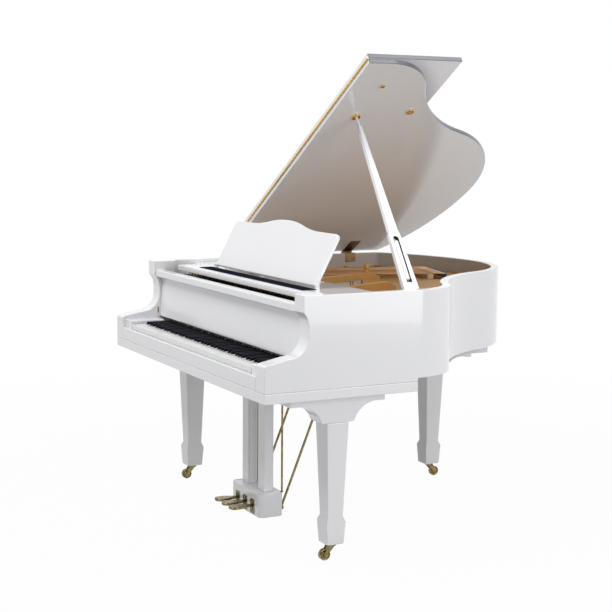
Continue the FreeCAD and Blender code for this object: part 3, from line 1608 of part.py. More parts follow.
def make_casters():
    for name, (side, depth, sense) in leg_places().items():
        radius = dim("caster_radius")
        axle_depth = depth + dim("caster_trail") * sense
        plate_high = dim("leg_bottom") - gap
        plate_low = plate_high - dim("caster_disc_height")
        half_width = dim("caster_width") / 2
        cheek = dim("fork_cheek")
        ear = dim("fork_ear")
        top = plate_low + 1
        root_end = dim("fork_heel") + dim("fork_root")
        span = dim("fork_heel") + dim("caster_trail") + ear
        arm = [
            (0, top),
            (root_end, top),
            (span, radius),
            (span - ear * 2, radius, -ear * ROUND_END),
        ]
        if sense < 0:
            arm = [(span - corner[0], corner[1], *(-size for size in corner[2:])) for corner in arm]
        heel = depth - dim("fork_heel") * sense
        arm_origin = heel if sense > 0 else heel - span
        seat = (heel, heel + root_end) if sense > 0 else (heel - root_end, heel)
        stem = rod(name + "_stem", "z", dim("stem_radius"), (side, depth, plate_low),
                   dim("caster_disc_height") + dim("stem_length"))
        disc = rod(name + "_disc", "z", dim("caster_disc_radius"), (side, depth, plate_low),
                   dim("caster_disc_height"))
        inner = half_width + dim("wheel_side_gap")
        cheeks = []
        for count, left in enumerate((side + inner, side - inner - cheek)):
            cheeks.append(pad("%s_cheek_%d" % (name, count), "YZ_Plane", arm, (arm_origin, 0), left, cheek))
        across = inner + cheek / 2
        axle = rod(name + "_axle", "x", dim("axle_radius"), (side - across, axle_depth, radius), across * 2)
        yoke = block(name + "_yoke", (side - across, side + across), seat, (plate_low - cheek, plate_low))
        node(fuse(name + "_caster_fork", stem, disc, axle, yoke, *cheeks))
        tread = rod(name + "_tread", "x", radius, (side - half_width, axle_depth, radius), half_width * 2)
        bore = rod(name + "_bore", "x", dim("axle_radius") + gap,
                   (side - half_width - 1, axle_depth, radius), half_width * 2 + 2)
        node(cut(name + "_caster_wheel", tread, bore))


# Lyre and pedals
PEDALS = {"soft": -1, "middle": 0, "sustain": 1}


def make_lyre():
    top = dim("keybed_bottom")
    block_bottom = top - dim("lyre_top_height")
    box_top = dim("lyre_box_bottom") + dim("lyre_box_height")
    width = dim("lyre_post_width") / 2
    near = behind("lyre_post_front")
    posts = []
    for sign in (-1, 1):
        centre = dim("lyre_post_spread") * sign
        posts.append(block("lyre_post_%d" % (sign + 1), (centre - width, centre + width),
                           (near, near + dim("lyre_post_depth")), (box_top, block_bottom)))
    side = dim("lyre_box_half_width")
    box_near = behind("lyre_box_front")
    box_far = behind("lyre_box_back")
    cap = block("lyre_cap", (-side, side), (box_near + dim("lyre_cap_setback"), box_far), (block_bottom, top))
    rod_radius = dim("pedal_rod_radius") + dim("pedal_rod_clearance")
    cap_bores = []
    lid_bores = []
    mouths = []
    wall = dim("lyre_box_wall")
    for name, sign in PEDALS.items():
        centre = dim("pedal_spread") * sign
        spot = (centre, behind("pedal_rod_depth"))
        cap_bores.append(rod(name + "_cap_bore", "z", rod_radius, (*spot, block_bottom - 1),
                             dim("lyre_top_height") + 2))
        lid_bores.append(rod(name + "_box_bore", "z", rod_radius, (*spot, box_top - wall - 1), wall + 2))
        mouth_side = dim("pedal_neck_width") / 2 + dim("mouth_side_gap")
        mouth_low = dim("pedal_bottom") - dim("mouth_drop")
        mouths.append(block(name + "_mouth", (centre - mouth_side, centre + mouth_side),
                            (box_near - 1, box_near + wall + 1),
                            (mouth_low, mouth_low + dim("mouth_height"))))
    node(group("lyre_frame", *posts, cut("lyre_top_block", cap, *cap_bores)))
    outer = block("box_outer", (-side, side), (box_near, box_far), (dim("lyre_box_bottom"), box_top))
    inner = block("box_inner", (-side + wall, side - wall), (box_near + wall, box_far - wall),
                  (dim("lyre_box_bottom") + wall, box_top - wall))
    shell = cut("box_shell", outer, inner, *lid_bores, *mouths)
    pivot_start = (-side + wall, *pedal_pivot())
    pivot = rod("pedal_pivot_rod", "x", dim("pedal_pivot_radius") - gap, pivot_start, (side - wall) * 2)
    node(group("lyre_box", shell, pivot))


def pedal_pivot():
    return behind("pedal_pivot_depth"), dim("pedal_bottom") + dim("pedal_thickness") / 2


def make_braces():
    rods = []
    far = behind("lyre_box_back").value
    bed = dim("keybed_bottom").value
    cap_bottom = bed - dim("lyre_top_height").value
    box_top = dim("lyre_box_bottom").value + dim("lyre_box_height").value
    for sign in (-1, 1):
        side = dim("brace_spread").value * sign
        foot = V(side, far, dim("brace_foot_height").value)
        head = V(side, behind("brace_top_depth").value, bed)
        radius = dim("brace_radius").value
        spare = radius * 6
        way = (head - foot).normalize() * spare
        room = Part.makeBox(2 * spare, head.y - foot.y + spare, bed, V(side - spare, far, 0))
        rods.append(wire_rod(foot - way, head + way, radius).common(room))
        stay_foot = V(dim("stay_spread").value * sign, behind("stay_depth").value, box_top)
        rods.append(Part.makeCylinder(dim("stay_radius").value, cap_bottom - box_top, stay_foot))
    node(feature("lyre_braces", Part.makeCompound(rods)))


def make_pedals():
    toe = dim("pedal_toe_width")
    round_toe = toe / 2
    neck = dim("pedal_neck_width")
    margin = (toe - neck) / 2
    length = dim("pedal_length")
    toe_back = dim("pedal_toe_length")
    neck_start = toe_back + dim("pedal_shoulder")
    outline = [
        (margin, length),
        (margin, neck_start),
        (0, toe_back),
        (0, round_toe),
        (toe, round_toe, round_toe * ROUND_END),
        (toe, toe_back),
        (toe - margin, neck_start),
        (toe - margin, length),
    ]
    bottom = dim("pedal_bottom")
    for name, sign in PEDALS.items():
        centre = dim("pedal_spread") * sign
        origin = (centre - round_toe, behind("pedal_front"))
        lever = pad(name + "_lever", "XY_Plane", outline, origin, bottom, dim("pedal_thickness"))
        hub = rod(name + "_hub", "x", dim("pedal_hub_radius"), (centre - neck / 2, *pedal_pivot()), neck)
        bore_start = (centre - neck, *pedal_pivot())
        bore = rod(name + "_pivot_bore", "x", dim("pedal_pivot_radius"), bore_start, neck * 2)
        node(cut(name + "_pedal", fuse(name + "_pedal_body", lever, hub), bore))
        rod_bottom = bottom + dim("pedal_thickness") + dim("pedal_rod_gap")
        node(rod(name + "_rod", "z", dim("pedal_rod_radius"), (centre, behind("pedal_rod_depth"), rod_bottom),
                 dim("pedal_rod_top") - rod_bottom))


make_rim()
make_case()
tail_seat = make_soundboard()
make_bridges()
make_plate()
make_pin_field()
make_strings()
make_keys()
make_key_frame()
make_hammers()
make_dampers()
make_fallboard()
make_shelf()
make_desk()
make_desk_struts()
make_lid()
make_flap_hinge()
make_lid_hinges()
make_lid_fittings()
make_prop()
make_prop_bracket()
make_legs(tail_seat)
make_casters()
make_lyre()
make_braces()
make_pedals()
doc.recompute()

for obj in doc.Objects:
    if "Invalid" in obj.State or "Error" in obj.State:
        raise RuntimeError("%s did not compute" % obj.Label)
os.makedirs("parts", exist_ok=True)
for name, obj in nodes.items():
    shape = obj.Shape
    if shape.isNull() or not shape.isValid() or not shape.Solids:
        raise RuntimeError("%s has no valid solid" % name)
    shape.exportStep("parts/%s.step" % name)
print(len(nodes), "nodes", sum(len(obj.Shape.Solids) for obj in nodes.values()), "solids")
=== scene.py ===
import json
import math

import bmesh
import bpy
from mathutils import Matrix, Vector

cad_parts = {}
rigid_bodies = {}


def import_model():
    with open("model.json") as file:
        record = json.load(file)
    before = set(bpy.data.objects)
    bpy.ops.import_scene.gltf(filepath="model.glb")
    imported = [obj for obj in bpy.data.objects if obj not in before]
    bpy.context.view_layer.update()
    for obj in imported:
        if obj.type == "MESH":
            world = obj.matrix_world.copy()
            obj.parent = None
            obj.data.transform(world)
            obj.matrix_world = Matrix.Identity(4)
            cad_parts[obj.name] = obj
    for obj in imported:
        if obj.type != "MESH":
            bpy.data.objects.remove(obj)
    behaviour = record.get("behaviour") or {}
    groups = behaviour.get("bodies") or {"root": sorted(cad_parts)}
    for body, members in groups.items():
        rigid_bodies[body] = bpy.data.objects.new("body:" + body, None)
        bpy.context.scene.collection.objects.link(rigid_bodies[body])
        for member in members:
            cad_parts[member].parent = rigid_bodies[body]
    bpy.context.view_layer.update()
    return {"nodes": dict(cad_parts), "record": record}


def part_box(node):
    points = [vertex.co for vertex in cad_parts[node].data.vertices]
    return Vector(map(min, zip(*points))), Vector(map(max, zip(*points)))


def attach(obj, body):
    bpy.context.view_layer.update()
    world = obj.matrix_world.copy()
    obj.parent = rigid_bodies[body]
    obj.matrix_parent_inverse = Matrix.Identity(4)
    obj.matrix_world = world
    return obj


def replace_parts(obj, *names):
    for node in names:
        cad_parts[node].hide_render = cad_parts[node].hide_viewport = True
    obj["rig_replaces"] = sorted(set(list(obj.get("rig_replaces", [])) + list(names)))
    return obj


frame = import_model()
record = frame["record"]
SLOT_OF = {row["node"]: row["material_slot"] for row in record["subparts"]}
BODY_OF = {node: body for body, nodes in record["behaviour"]["bodies"].items() for node in nodes}

# Places of the piano, in metres
HALF_WIDTH = 0.755
FRONT = -0.760
TAIL = 0.750
PLATE_TOP = 0.919
TREBLE_WIRE = 0.926
BASS_WIRE = 0.940
DAMPER_DEPTH = FRONT + 0.548
WELL_MIDDLE = Vector((-0.1, 0.1, 0))
WELL_FRONT = -0.262
RIM_EDGE = 0.9835
LID_AXIS = Vector((-0.761, 0, 0.987))
LID_ANGLE = math.radians(32.06)
LID_HINGE_DEPTHS = (0.395, -0.120)

# Where a finish changes within one piece, in metres
INNER_WALL_FRONT = -0.02
PAINTED_SHADE_PIN_FIELD_END = -0.43
KEY_PLATE_LOW = 0.7185
KEY_PLATE_BACK = FRONT + 0.0205
FELT_LOW = 0.862

# Angles that tell a flat face from an edge
FACING = 0.9
SHARP = 35
SMOOTH = math.radians(40)


# Shader maths
class Socket:
    """A shader value that Python's signs turn into Math nodes."""

    def __init__(self, finish, port):
        self.finish = finish
        self.port = port

    def sign(self, operation, first, second):
        return self.finish.node("ShaderNodeMath", {"operation": operation}, {0: first, 1: second})

    def __add__(self, other):
        return self.sign("ADD", self, other)

    def __radd__(self, other):
        return self.sign("ADD", other, self)

    def __rsub__(self, other):
        return self.sign("SUBTRACT", other, self)

    def __mul__(self, other):
        return self.sign("MULTIPLY", self, other)

    def __gt__(self, other):
        return self.sign("GREATER_THAN", self, other)

    def __lt__(self, other):
        return self.sign("LESS_THAN", self, other)


class Finish:
    """A material that is built up from nodes."""

    def __init__(self, name):
        self.material = bpy.data.materials.new(name)
        self.material.use_nodes = True
        self.tree = self.material.node_tree
        self.tree.nodes.clear()

    def node(self, kind, settings=None, sockets=None, output=0):
        """Any node: its settings are set first, then the values or links of its sockets."""
        made = self.tree.nodes.new(kind)
        for name, value in (settings or {}).items():
            if name == "stops":
                ramp = made.color_ramp.elements
                while len(ramp) < len(value):
                    ramp.new(1)
                for stop, (position, colour) in zip(ramp, value):
                    stop.position = position
                    stop.color = (*colour, 1)
            else:
                setattr(made, name, value)
        for name, value in (sockets or {}).items():
            if isinstance(value, Socket):
                self.tree.links.new(value.port, made.inputs[name])
            elif isinstance(value, tuple) and made.inputs[name].type == "RGBA":
                made.inputs[name].default_value = (*value, 1)
            else:
                made.inputs[name].default_value = value
        return Socket(self, made.outputs[output])

    def place(self, stretch=(1, 1, 1), turn=(0, 0, 0)):
        """The piece's own coordinates, turned and stretched."""
        where = self.node("ShaderNodeTexCoord", output="Object")
        return self.node("ShaderNodeMapping", {}, {"Vector": where, "Scale": stretch, "Rotation": turn})

    def axis(self, name):
        """One coordinate of the piece, in metres."""
        return self.node("ShaderNodeSeparateXYZ", {}, {"Vector": self.place()}, name)

    def noise(self, scale, detail=2.0, stretch=(1, 1, 1), turn=(0, 0, 0), twist=0.0):
        settings = {"noise_dimensions": "3D"}
        sockets = {"Vector": self.place(stretch, turn), "Scale": scale}
        sockets.update({"Detail": detail, "Distortion": twist})
        return self.node("ShaderNodeTexNoise", settings, sockets)

    def wave(self, scale, stretch=(1, 1, 1), turn=(0, 0, 0), twist=0.0, detail=1.0):
        sockets = {"Vector": self.place(stretch, turn), "Scale": scale}
        sockets.update({"Detail": detail, "Distortion": twist})
        return self.node("ShaderNodeTexWave", {"bands_direction": "X"}, sockets, 1)

    def ramp(self, share, *stops):
        return self.node("ShaderNodeValToRGB", {"stops": stops}, {"Fac": share})

    def mix(self, share, first, second):
        """A colour between two colours."""
        return self.node("ShaderNodeMix", {"data_type": "RGBA"}, {0: share, 6: first, 7: second}, 2)

    def bump(self, height, strength, depth):
        return self.node("ShaderNodeBump", {}, {"Height": height, "Strength": strength, "Distance": depth})

    def surface(self, **sockets):
        """The shader itself; the names of its sockets are written with low lines."""
        named = {}
        for name, value in sockets.items():
            named[name.replace("_", " ").title().replace("Ior", "IOR")] = value
        shader = self.node("ShaderNodeBsdfPrincipled", {}, named)
        self.node_out(shader)
        return self.material

    def node_out(self, shader):
        out = self.tree.nodes.new("ShaderNodeOutputMaterial")
        self.tree.links.new(shader.port, out.inputs["Surface"])


# Finishes
WHITE_LOW = (0.795, 0.80, 0.825)
WHITE_HIGH = (0.83, 0.832, 0.845)
SPRUCE_GRAIN = (0, 0, 0.93)
KNUCKLES = 13.1
KNUCKLE_JOINT = 0.965


def polished_white(name, low, high, rough):
    """Sprayed and buffed lacquer: a faint cloud of tone, buffing haze and a trace of orange peel."""
    f = Finish(name)
    tone = f.mix(f.noise(2.5, 3.0), low, high)
    haze = f.noise(60.0, 4.0)
    streak = f.noise(25.0, 3.0, (1, 9, 1))
    normal = f.bump(f.noise(110.0, 1.0), 0.05, 0.0006)
    return f.surface(base_color=tone, roughness=rough + haze * 0.05 + streak * 0.03, coat_weight=0.5,
                     coat_roughness=0.03, ior=1.5, normal=normal)


def white_polyester():
    return polished_white("white_polyester", WHITE_LOW, WHITE_HIGH, 0.10)


def painted_shade_edge():
    """Painted shade: mid-grey lacquer on the edges of the lid that face the treble side, standing in for the
    shade on them.
    """
    return polished_white("painted_shade_edge", (0.105, 0.112, 0.135), (0.135, 0.142, 0.165), 0.2)


def rim_inside():
    """The inner wall of the case in painted shade and painted reflection: taupe for white lacquer in shade
    with the bronze plate reflected in it, with a faint grain; its front ends are white like the outside.
    """
    f = Finish("rim_inside")
    cloud = f.noise(5.0, 3.0)
    grain = f.noise(90.0, 4.0, (1, 1, 0.05), twist=0.6)
    tone = f.mix(cloud, (0.53, 0.485, 0.44), (0.60, 0.555, 0.51))
    tone = f.mix(grain * 0.18, tone, (0.42, 0.37, 0.33))
    tone = f.mix(f.axis("Y") < INNER_WALL_FRONT, tone, WHITE_LOW)
    return f.surface(base_color=tone, roughness=0.14 + grain * 0.06, coat_weight=0.4, coat_roughness=0.05,
                     normal=f.bump(grain, 0.03, 0.0004))


def plain_timber(name, dark, light, scale, stretch, turn=(0, 0, 0), rough=0.5):
    """Sawn or planed wood whose grain runs along the axis that is stretched least."""
    f = Finish(name)
    rings = f.wave(scale, stretch, turn, 3.5, 2.0)
    fibre = f.noise(scale * 9, 4.0, stretch, turn)
    tone = f.mix(rings * 0.6 + fibre * 0.4, dark, light)
    return f.surface(base_color=tone, roughness=rough + fibre * 0.15, normal=f.bump(fibre, 0.15, 0.0006))


def bare_wood():
    return plain_timber("bare_wood", (0.42, 0.27, 0.15), (0.60, 0.43, 0.27), 14.0, (1, 0.06, 1))


def spruce():
    return plain_timber("spruce", (0.60, 0.40, 0.20), (0.76, 0.57, 0.34), 90.0, (1, 0.02, 1),
                        SPRUCE_GRAIN, 0.35)


def maple():
    return plain_timber("maple", (0.58, 0.40, 0.23), (0.74, 0.56, 0.37), 18.0, (0.05, 1, 1), rough=0.4)


def bronze_plate():
    """Bronze paint over sand-cast iron, with metal flake in it; the pin field in front is painted black as
    painted shade.
    """
    f = Finish("bronze_plate")
    cast = f.noise(320.0, 3.0)
    flake = f.noise(1500.0, 1.0)
    cloud = f.noise(7.0, 3.0)
    tone = f.mix(cloud, (0.42, 0.225, 0.070), (0.54, 0.305, 0.110))
    tone = f.mix(flake * 0.3, tone, (0.66, 0.42, 0.18))
    # Painted shade: the front pin field, which the case shades, is blacked out.
    painted_shade_field = f.axis("Y") < PAINTED_SHADE_PIN_FIELD_END
    tone = f.mix(painted_shade_field, tone, (0.016, 0.014, 0.012))
    return f.surface(base_color=tone, metallic=(0.45 + flake * 0.25) * (1 - painted_shade_field), specular_ior_level=0.25,
                     roughness=0.40 + cast * 0.16, normal=f.bump(cast, 0.25, 0.0007))


def turned_metal(name, bright, dull, rough, wear_scale):
    """Lacquered metal with fine turning marks and patches where the lacquer has dulled."""
    f = Finish(name)
    patch = f.noise(wear_scale, 4.0)
    mark = f.noise(900.0, 2.0, (1, 1, 6))
    tone = f.mix(f.ramp(patch, (0.35, (0, 0, 0)), (0.7, (1, 1, 1))), bright, dull)
    return f.surface(base_color=tone, metallic=1.0, roughness=rough + patch * 0.14 + mark * 0.05,
                     normal=f.bump(mark, 0.06, 0.0003))


def brass():
    return turned_metal("brass", (0.86, 0.62, 0.26), (0.68, 0.46, 0.18), 0.16, 55.0)


def antique_brass():
    return turned_metal("antique_brass", (0.31, 0.25, 0.115), (0.105, 0.080, 0.034), 0.15, 95.0)


def hinge_bronze():
    return turned_metal("hinge_bronze", (0.34, 0.225, 0.115), (0.185, 0.115, 0.060), 0.26, 60.0)


def hinge_brass():
    """The long hinge: its knuckles show as fine dark joints along the seam."""
    f = Finish("hinge_brass")
    joint = f.wave(KNUCKLES, turn=(0, LID_ANGLE, 0))
    line = joint > KNUCKLE_JOINT
    patch = f.noise(40.0, 3.0)
    tone = f.mix(patch, (0.88, 0.66, 0.27), (0.74, 0.52, 0.20))
    tone = f.mix(line, tone, (0.52, 0.37, 0.14))
    return f.surface(base_color=tone, metallic=1.0, roughness=0.2 + patch * 0.12,
                     normal=f.bump(1 - line, 0.6, 0.0006))


def pin_steel():
    return turned_metal("pin_steel", (0.13, 0.135, 0.155), (0.06, 0.062, 0.075), 0.24, 300.0)


def string_wire():
    return turned_metal("string_wire", (0.60, 0.54, 0.45), (0.40, 0.35, 0.28), 0.26, 12.0)


def copper_winding():
    """Copper wound on steel: the turns lie across the string."""
    f = Finish("copper_winding")
    turns = f.wave(240.0, (0.35, 1, 0), (0, 0, math.pi / 2))
    age = f.noise(9.0, 3.0)
    tone = f.mix(age, (0.80, 0.47, 0.24), (0.56, 0.32, 0.155))
    tone = f.mix(turns * 0.35, tone, (0.32, 0.17, 0.08))
    return f.surface(base_color=tone, metallic=1.0, roughness=0.28 + age * 0.1,
                     normal=f.bump(turns, 0.5, 0.0004))


def key_white():
    """White key tops with a faint warm figure; below the top plates the sticks are wood."""
    f = Finish("key_white")
    height = f.axis("Z")
    depth = f.axis("Y")
    figure = f.noise(45.0, 3.0, (1, 0.12, 1), twist=0.8)
    ivory = f.mix(figure, (0.79, 0.79, 0.79), (0.835, 0.835, 0.835))
    grain = f.noise(160.0, 3.0, (1, 0.05, 1))
    stick = f.mix(grain, (0.58, 0.42, 0.25), (0.72, 0.55, 0.36))
    top = (height > KEY_PLATE_LOW) + (depth < KEY_PLATE_BACK)
    tone = f.mix(top > 0.5, stick, ivory)
    return f.surface(base_color=tone, roughness=0.2 + figure * 0.08, coat_weight=0.3, coat_roughness=0.08,
                     normal=f.bump(figure, 0.03, 0.0004))


def key_black():
    """Blackened wood, rubbed to a soft gloss, with open pores along the key."""
    f = Finish("key_black")
    pore = f.noise(420.0, 3.0, (1, 0.06, 1))
    rub = f.noise(30.0, 2.0)
    tone = f.mix(pore, (0.004, 0.0045, 0.008), (0.012, 0.013, 0.021))
    return f.surface(base_color=tone, roughness=0.34 + rub * 0.12, specular_ior_level=0.05,
                     normal=f.bump(pore, 0.08, 0.0003))


def felted(name, low, high):
    """Pressed wool: tangled fibre with a nap."""
    f = Finish(name)
    fibre = f.noise(900.0, 5.0, twist=2.0)
    mat = f.noise(70.0, 3.0)
    tone = f.mix(fibre * 0.6 + mat * 0.4, low, high)
    return f.surface(base_color=tone, roughness=0.92, sheen_weight=0.4, sheen_roughness=0.5,
                     normal=f.bump(fibre, 0.5, 0.0008))


def felt():
    """Hammer felt above, the wooden shank and moulding below it."""
    f = Finish("felt")
    height = f.axis("Z")
    fibre = f.noise(800.0, 4.0, twist=1.5)
    wool = f.mix(fibre, (0.70, 0.68, 0.62), (0.84, 0.83, 0.79))
    wood = f.mix(f.noise(60.0, 3.0, (1, 1, 0.1)), (0.52, 0.34, 0.18), (0.68, 0.48, 0.29))
    tone = f.mix(height > FELT_LOW, wood, wool)
    return f.surface(base_color=tone, roughness=0.7 + fibre * 0.2, normal=f.bump(fibre, 0.3, 0.0006))


def red_felt():
    return felted("red_felt", (0.16, 0.012, 0.016), (0.30, 0.035, 0.04))


def white_felt():
    return felted("white_felt", (0.66, 0.64, 0.59), (0.82, 0.80, 0.76))


def damper_wood():
    f = Finish("damper_wood")
    pore = f.noise(300.0, 3.0, (1, 0.1, 1))
    tone = f.mix(pore, (0.012, 0.011, 0.011), (0.045, 0.04, 0.038))
    return f.surface(base_color=tone, roughness=0.3 + pore * 0.15, normal=f.bump(pore, 0.1, 0.0003))


def ledge_black():
    """The dark strip of close-napped cloth that keeps sheets from sliding."""
    f = Finish("ledge_black")
    nap = f.noise(1100.0, 3.0, twist=1.0)
    sweep = f.noise(14.0, 2.0, (0.2, 1, 1))
    tone = f.mix(nap * 0.5 + sweep * 0.5, (0.006, 0.007, 0.014), (0.018, 0.020, 0.034))
    return f.surface(base_color=tone, roughness=0.9, specular_ior_level=0.0,
                     normal=f.bump(nap, 0.35, 0.0004))


def painted_shadow_black():
    # Painted shadow: a near-black finish for the walls of the prop's slot, where the half stick shades them.
    f = Finish("painted_shadow_black")
    grain = f.noise(500.0, 3.0)
    tone = f.mix(grain, (0.018, 0.018, 0.02), (0.05, 0.05, 0.054))
    return f.surface(base_color=tone, roughness=0.6 + grain * 0.15, normal=f.bump(grain, 0.2, 0.0004))


FINISHES = {make.__name__: make() for make in (
    white_polyester, painted_shade_edge, rim_inside, bare_wood, spruce, maple, bronze_plate, brass, antique_brass,
    hinge_brass, hinge_bronze, pin_steel, string_wire, copper_winding, key_white, key_black, felt, red_felt,
    white_felt, damper_wood, ledge_black, painted_shadow_black)}


# Modelling by hand
def take(*pieces):
    """Selects these pieces and nothing else; the last one is active."""
    for thing in bpy.context.selected_objects:
        thing.select_set(False)
    for piece in pieces:
        piece.select_set(True)
        bpy.context.view_layer.objects.active = piece


def start_edit(piece, kind="FACE"):
    take(piece)
    bpy.ops.object.mode_set(mode="EDIT")
    bpy.ops.mesh.select_mode(type=kind)
    bpy.ops.mesh.select_all(action="DESELECT")


def end_edit():
    bpy.ops.object.mode_set(mode="OBJECT")


def pick(piece, kind, wanted):
    """Selects, in edit mode, the faces or edges that are wanted."""
    bpy.ops.mesh.select_all(action="DESELECT")
    mesh = bmesh.from_edit_mesh(piece.data)
    mesh.normal_update()
    for part in getattr(mesh, kind):
        if wanted(part):
            part.select_set(True)
    bmesh.update_edit_mesh(piece.data)


def pick_faces_along(piece, way):
    """Selects the faces that look along a direction."""
    heading = Vector(way).normalized()
    pick(piece, "faces", lambda face: face.normal.dot(heading) > FACING)


def use(piece, kind, **settings):
    """Adds a modifier with its settings and applies it."""
    take(piece)
    modifier = piece.modifiers.new(kind.lower(), kind)
    for name, value in settings.items():
        setattr(modifier, name, value)
    bpy.ops.object.modifier_apply(modifier=modifier.name)


def soften(piece, edge, steps=2, angle=SHARP):
    """Rounds the sharp edges and lets the flat faces keep their shading."""
    use(piece, "BEVEL", width=edge, segments=steps, limit_method="ANGLE", angle_limit=math.radians(angle),
        use_clamp_overlap=False, miter_outer="MITER_ARC")
    take(piece)
    bpy.ops.object.shade_smooth_by_angle(angle=SMOOTH)
    use(piece, "WEIGHTED_NORMAL", keep_sharp=True)


def ease_long_edges(piece, edge, steps, shortest):
    """Rounds only the sharp edges that are longer than the shortest."""
    start_edit(piece, "EDGE")
    pick(piece, "edges", lambda line: line.is_manifold and line.calc_length() > shortest
         and line.calc_face_angle() > math.radians(SHARP))
    bpy.ops.mesh.bevel(offset=edge, segments=steps, affect="EDGES", clamp_overlap=True)
    end_edit()
    bpy.ops.object.shade_smooth_by_angle(angle=SMOOTH)


def settle(piece):
    """Puts the piece's place into its mesh."""
    take(piece)
    bpy.ops.object.transform_apply(location=True, rotation=True, scale=True)
    return piece


def paint(piece, *finishes):
    piece.data.materials.clear()
    for finish in finishes:
        piece.data.materials.append(FINISHES[finish])


def hang(piece, name, body, slot, *nodes):
    """Names a finished piece, and gives it its body and the nodes that it stands for; its slot is not used.
    """
    piece.name = name
    piece.data.name = name
    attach(piece, body)
    if nodes:
        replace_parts(piece, *nodes)
    return piece


MERGE_REACH = 0.00002
FLAT = math.radians(0.4)


def copy_of(node):
    """A copy of a CAD node with merged points and whole faces."""
    piece = bpy.data.objects.new(node + "_copy", frame["nodes"][node].data.copy())
    bpy.context.scene.collection.objects.link(piece)
    take(piece)
    bpy.ops.mesh.customdata_custom_splitnormals_clear()
    start_edit(piece)
    bpy.ops.mesh.select_all(action="SELECT")
    bpy.ops.mesh.remove_doubles(threshold=MERGE_REACH)
    bpy.ops.mesh.dissolve_limited(angle_limit=FLAT)
    end_edit()
    return piece


def eased(node, edge, steps=2, finish=None):
    """The node with rounded edges, in its own finish."""
    piece = copy_of(node)
    soften(piece, edge, steps)
    paint(piece, finish or SLOT_OF[node])
    return hang(piece, node + "_eased", BODY_OF[node], SLOT_OF[node], node)


def scatter(master, places):
    """Copies of a master, each with its own mesh, joined into one piece; the master is used up."""
    copies = []
    for place in places:
        twin = bpy.data.objects.new("copy", master.data.copy())
        twin.data.transform(place)
        bpy.context.scene.collection.objects.link(twin)
        copies.append(twin)
    bpy.data.objects.remove(master)
    take(*copies)
    bpy.ops.object.join()
    return bpy.context.object


def aimed(place, way, size=(1, 1, 1)):
    """A place whose own height runs along a direction."""
    turn = Vector(way).to_track_quat("Z", "Y")
    return Matrix.LocRotScale(Vector(place), turn, Vector(size))


# Case
def make_case():
    rim = copy_of("outer_rim")
    soften(rim, 0.003, 3)
    paint(rim, "white_polyester", "rim_inside")
    # The upright faces that look into the well take rim_inside, whose taupe is painted shade and painted
    # reflection.
    for face in rim.data.polygons:
        out = face.center - WELL_MIDDLE
        upright = abs(face.normal.z) < 0.5 and face.center.z < RIM_EDGE
        inward = face.normal.x * out.x + face.normal.y * out.y < 0
        if upright and inward and face.center.y > WELL_FRONT:
            face.material_index = 1
    hang(rim, "rim", "case", "white_polyester", "outer_rim")
    for node, edge in (("keybed", 0.003), ("key_slip", 0.003), ("key_blocks", 0.004), ("stretcher", 0.004),
                       ("leg_brackets", 0.003), ("lyre_frame", 0.003), ("legs", 0.004), ("inner_rim", 0.001),
                       ("shelf_rails", 0.001), ("bridges", 0.0015), ("pin_block", 0.0006)):
        eased(node, edge, 3 if edge > 0.002 else 1)


LYRE_CORNER = 0.026
LYRE_CORNER_STEPS = 8
LYRE_SHARP = 50


def make_lyre_box():
    """The lyre box, with its four upright corners well rounded."""
    box = copy_of("lyre_box")
    low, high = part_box("lyre_box")
    start_edit(box, "EDGE")

    def corner(edge):
        first, last = (vert.co for vert in edge.verts)
        upright = abs(first.x - last.x) < 1e-4 and abs(first.y - last.y) < 1e-4
        at_side = min(abs(first.x - low.x), abs(first.x - high.x)) < 1e-3
        at_face = min(abs(first.y - low.y), abs(first.y - high.y)) < 1e-3
        return upright and at_side and at_face

    pick(box, "edges", corner)
    bpy.ops.mesh.bevel(offset=LYRE_CORNER, segments=LYRE_CORNER_STEPS, affect="EDGES", clamp_overlap=False)
    end_edit()
    soften(box, 0.003, 3, LYRE_SHARP)
    paint(box, "white_polyester")
    hang(box, "lyre_box_rounded", "case", "white_polyester", "lyre_box")


# Plate, wires and pins
BASS_NOTES = 26
SINGLE_NOTES = 10
NOTES = 88
LAST_DAMPED = 70
SECTION_BREAKS = (48, 68)
BREAK_STEPS = 2.2
PIN_ROWS = 3
PIN_ROW_STEP = 0.034
FIRST_PIN_ROW = FRONT + 0.322
SHORTEST_WIRE = 0.110
LONGEST_WIRE = 0.49 * 1.51
WIRE_TAPER = 0.08
TREBLE_RADIUS = 0.00055
CORE_RADIUS = 0.0006
BRIDGE_TO_HITCH = 0.070
WINDING_START = 0.120
WINDING_END = 0.012
BRIDGE_PIN_REACH = 0.008
BRIDGE_PIN_SHIFT = Vector((0.0012, 0, -0.002))


def between(low, high, share):
    return low + (high - low) * share


def treble_steps(note):
    """Steps from the first treble note, with a wider one at each break of the plate."""
    return note - BASS_NOTES + BREAK_STEPS * sum(note >= first for first in SECTION_BREAKS)


def note_line(note):
    """Front and hitch point of a note's wire."""
    if note < BASS_NOTES:
        share = note / (BASS_NOTES - 1)
        pass_side = between(-0.81, -0.47, share) * HALF_WIDTH
        hitch_side = between(-0.54, -0.14, share) * HALF_WIDTH
        last = Vector((hitch_side, TAIL - between(0.128, 0.215, share), BASS_WIRE))
    else:
        share = treble_steps(note) / treble_steps(NOTES - 1)
        pass_side = between(-0.41, 0.8, share) * HALF_WIDTH
        length = SHORTEST_WIRE + LONGEST_WIRE * WIRE_TAPER ** share
        hitch_side = between(-0.7, 0.806, share) * HALF_WIDTH
        last = Vector((hitch_side, FRONT + 0.470 + length, TREBLE_WIRE))
    start = FIRST_PIN_ROW + PIN_ROW_STEP * (note % PIN_ROWS)
    slope = (last.x - pass_side) / (last.y - DAMPER_DEPTH)
    return Vector((pass_side + slope * (start - DAMPER_DEPTH), start, last.z)), last


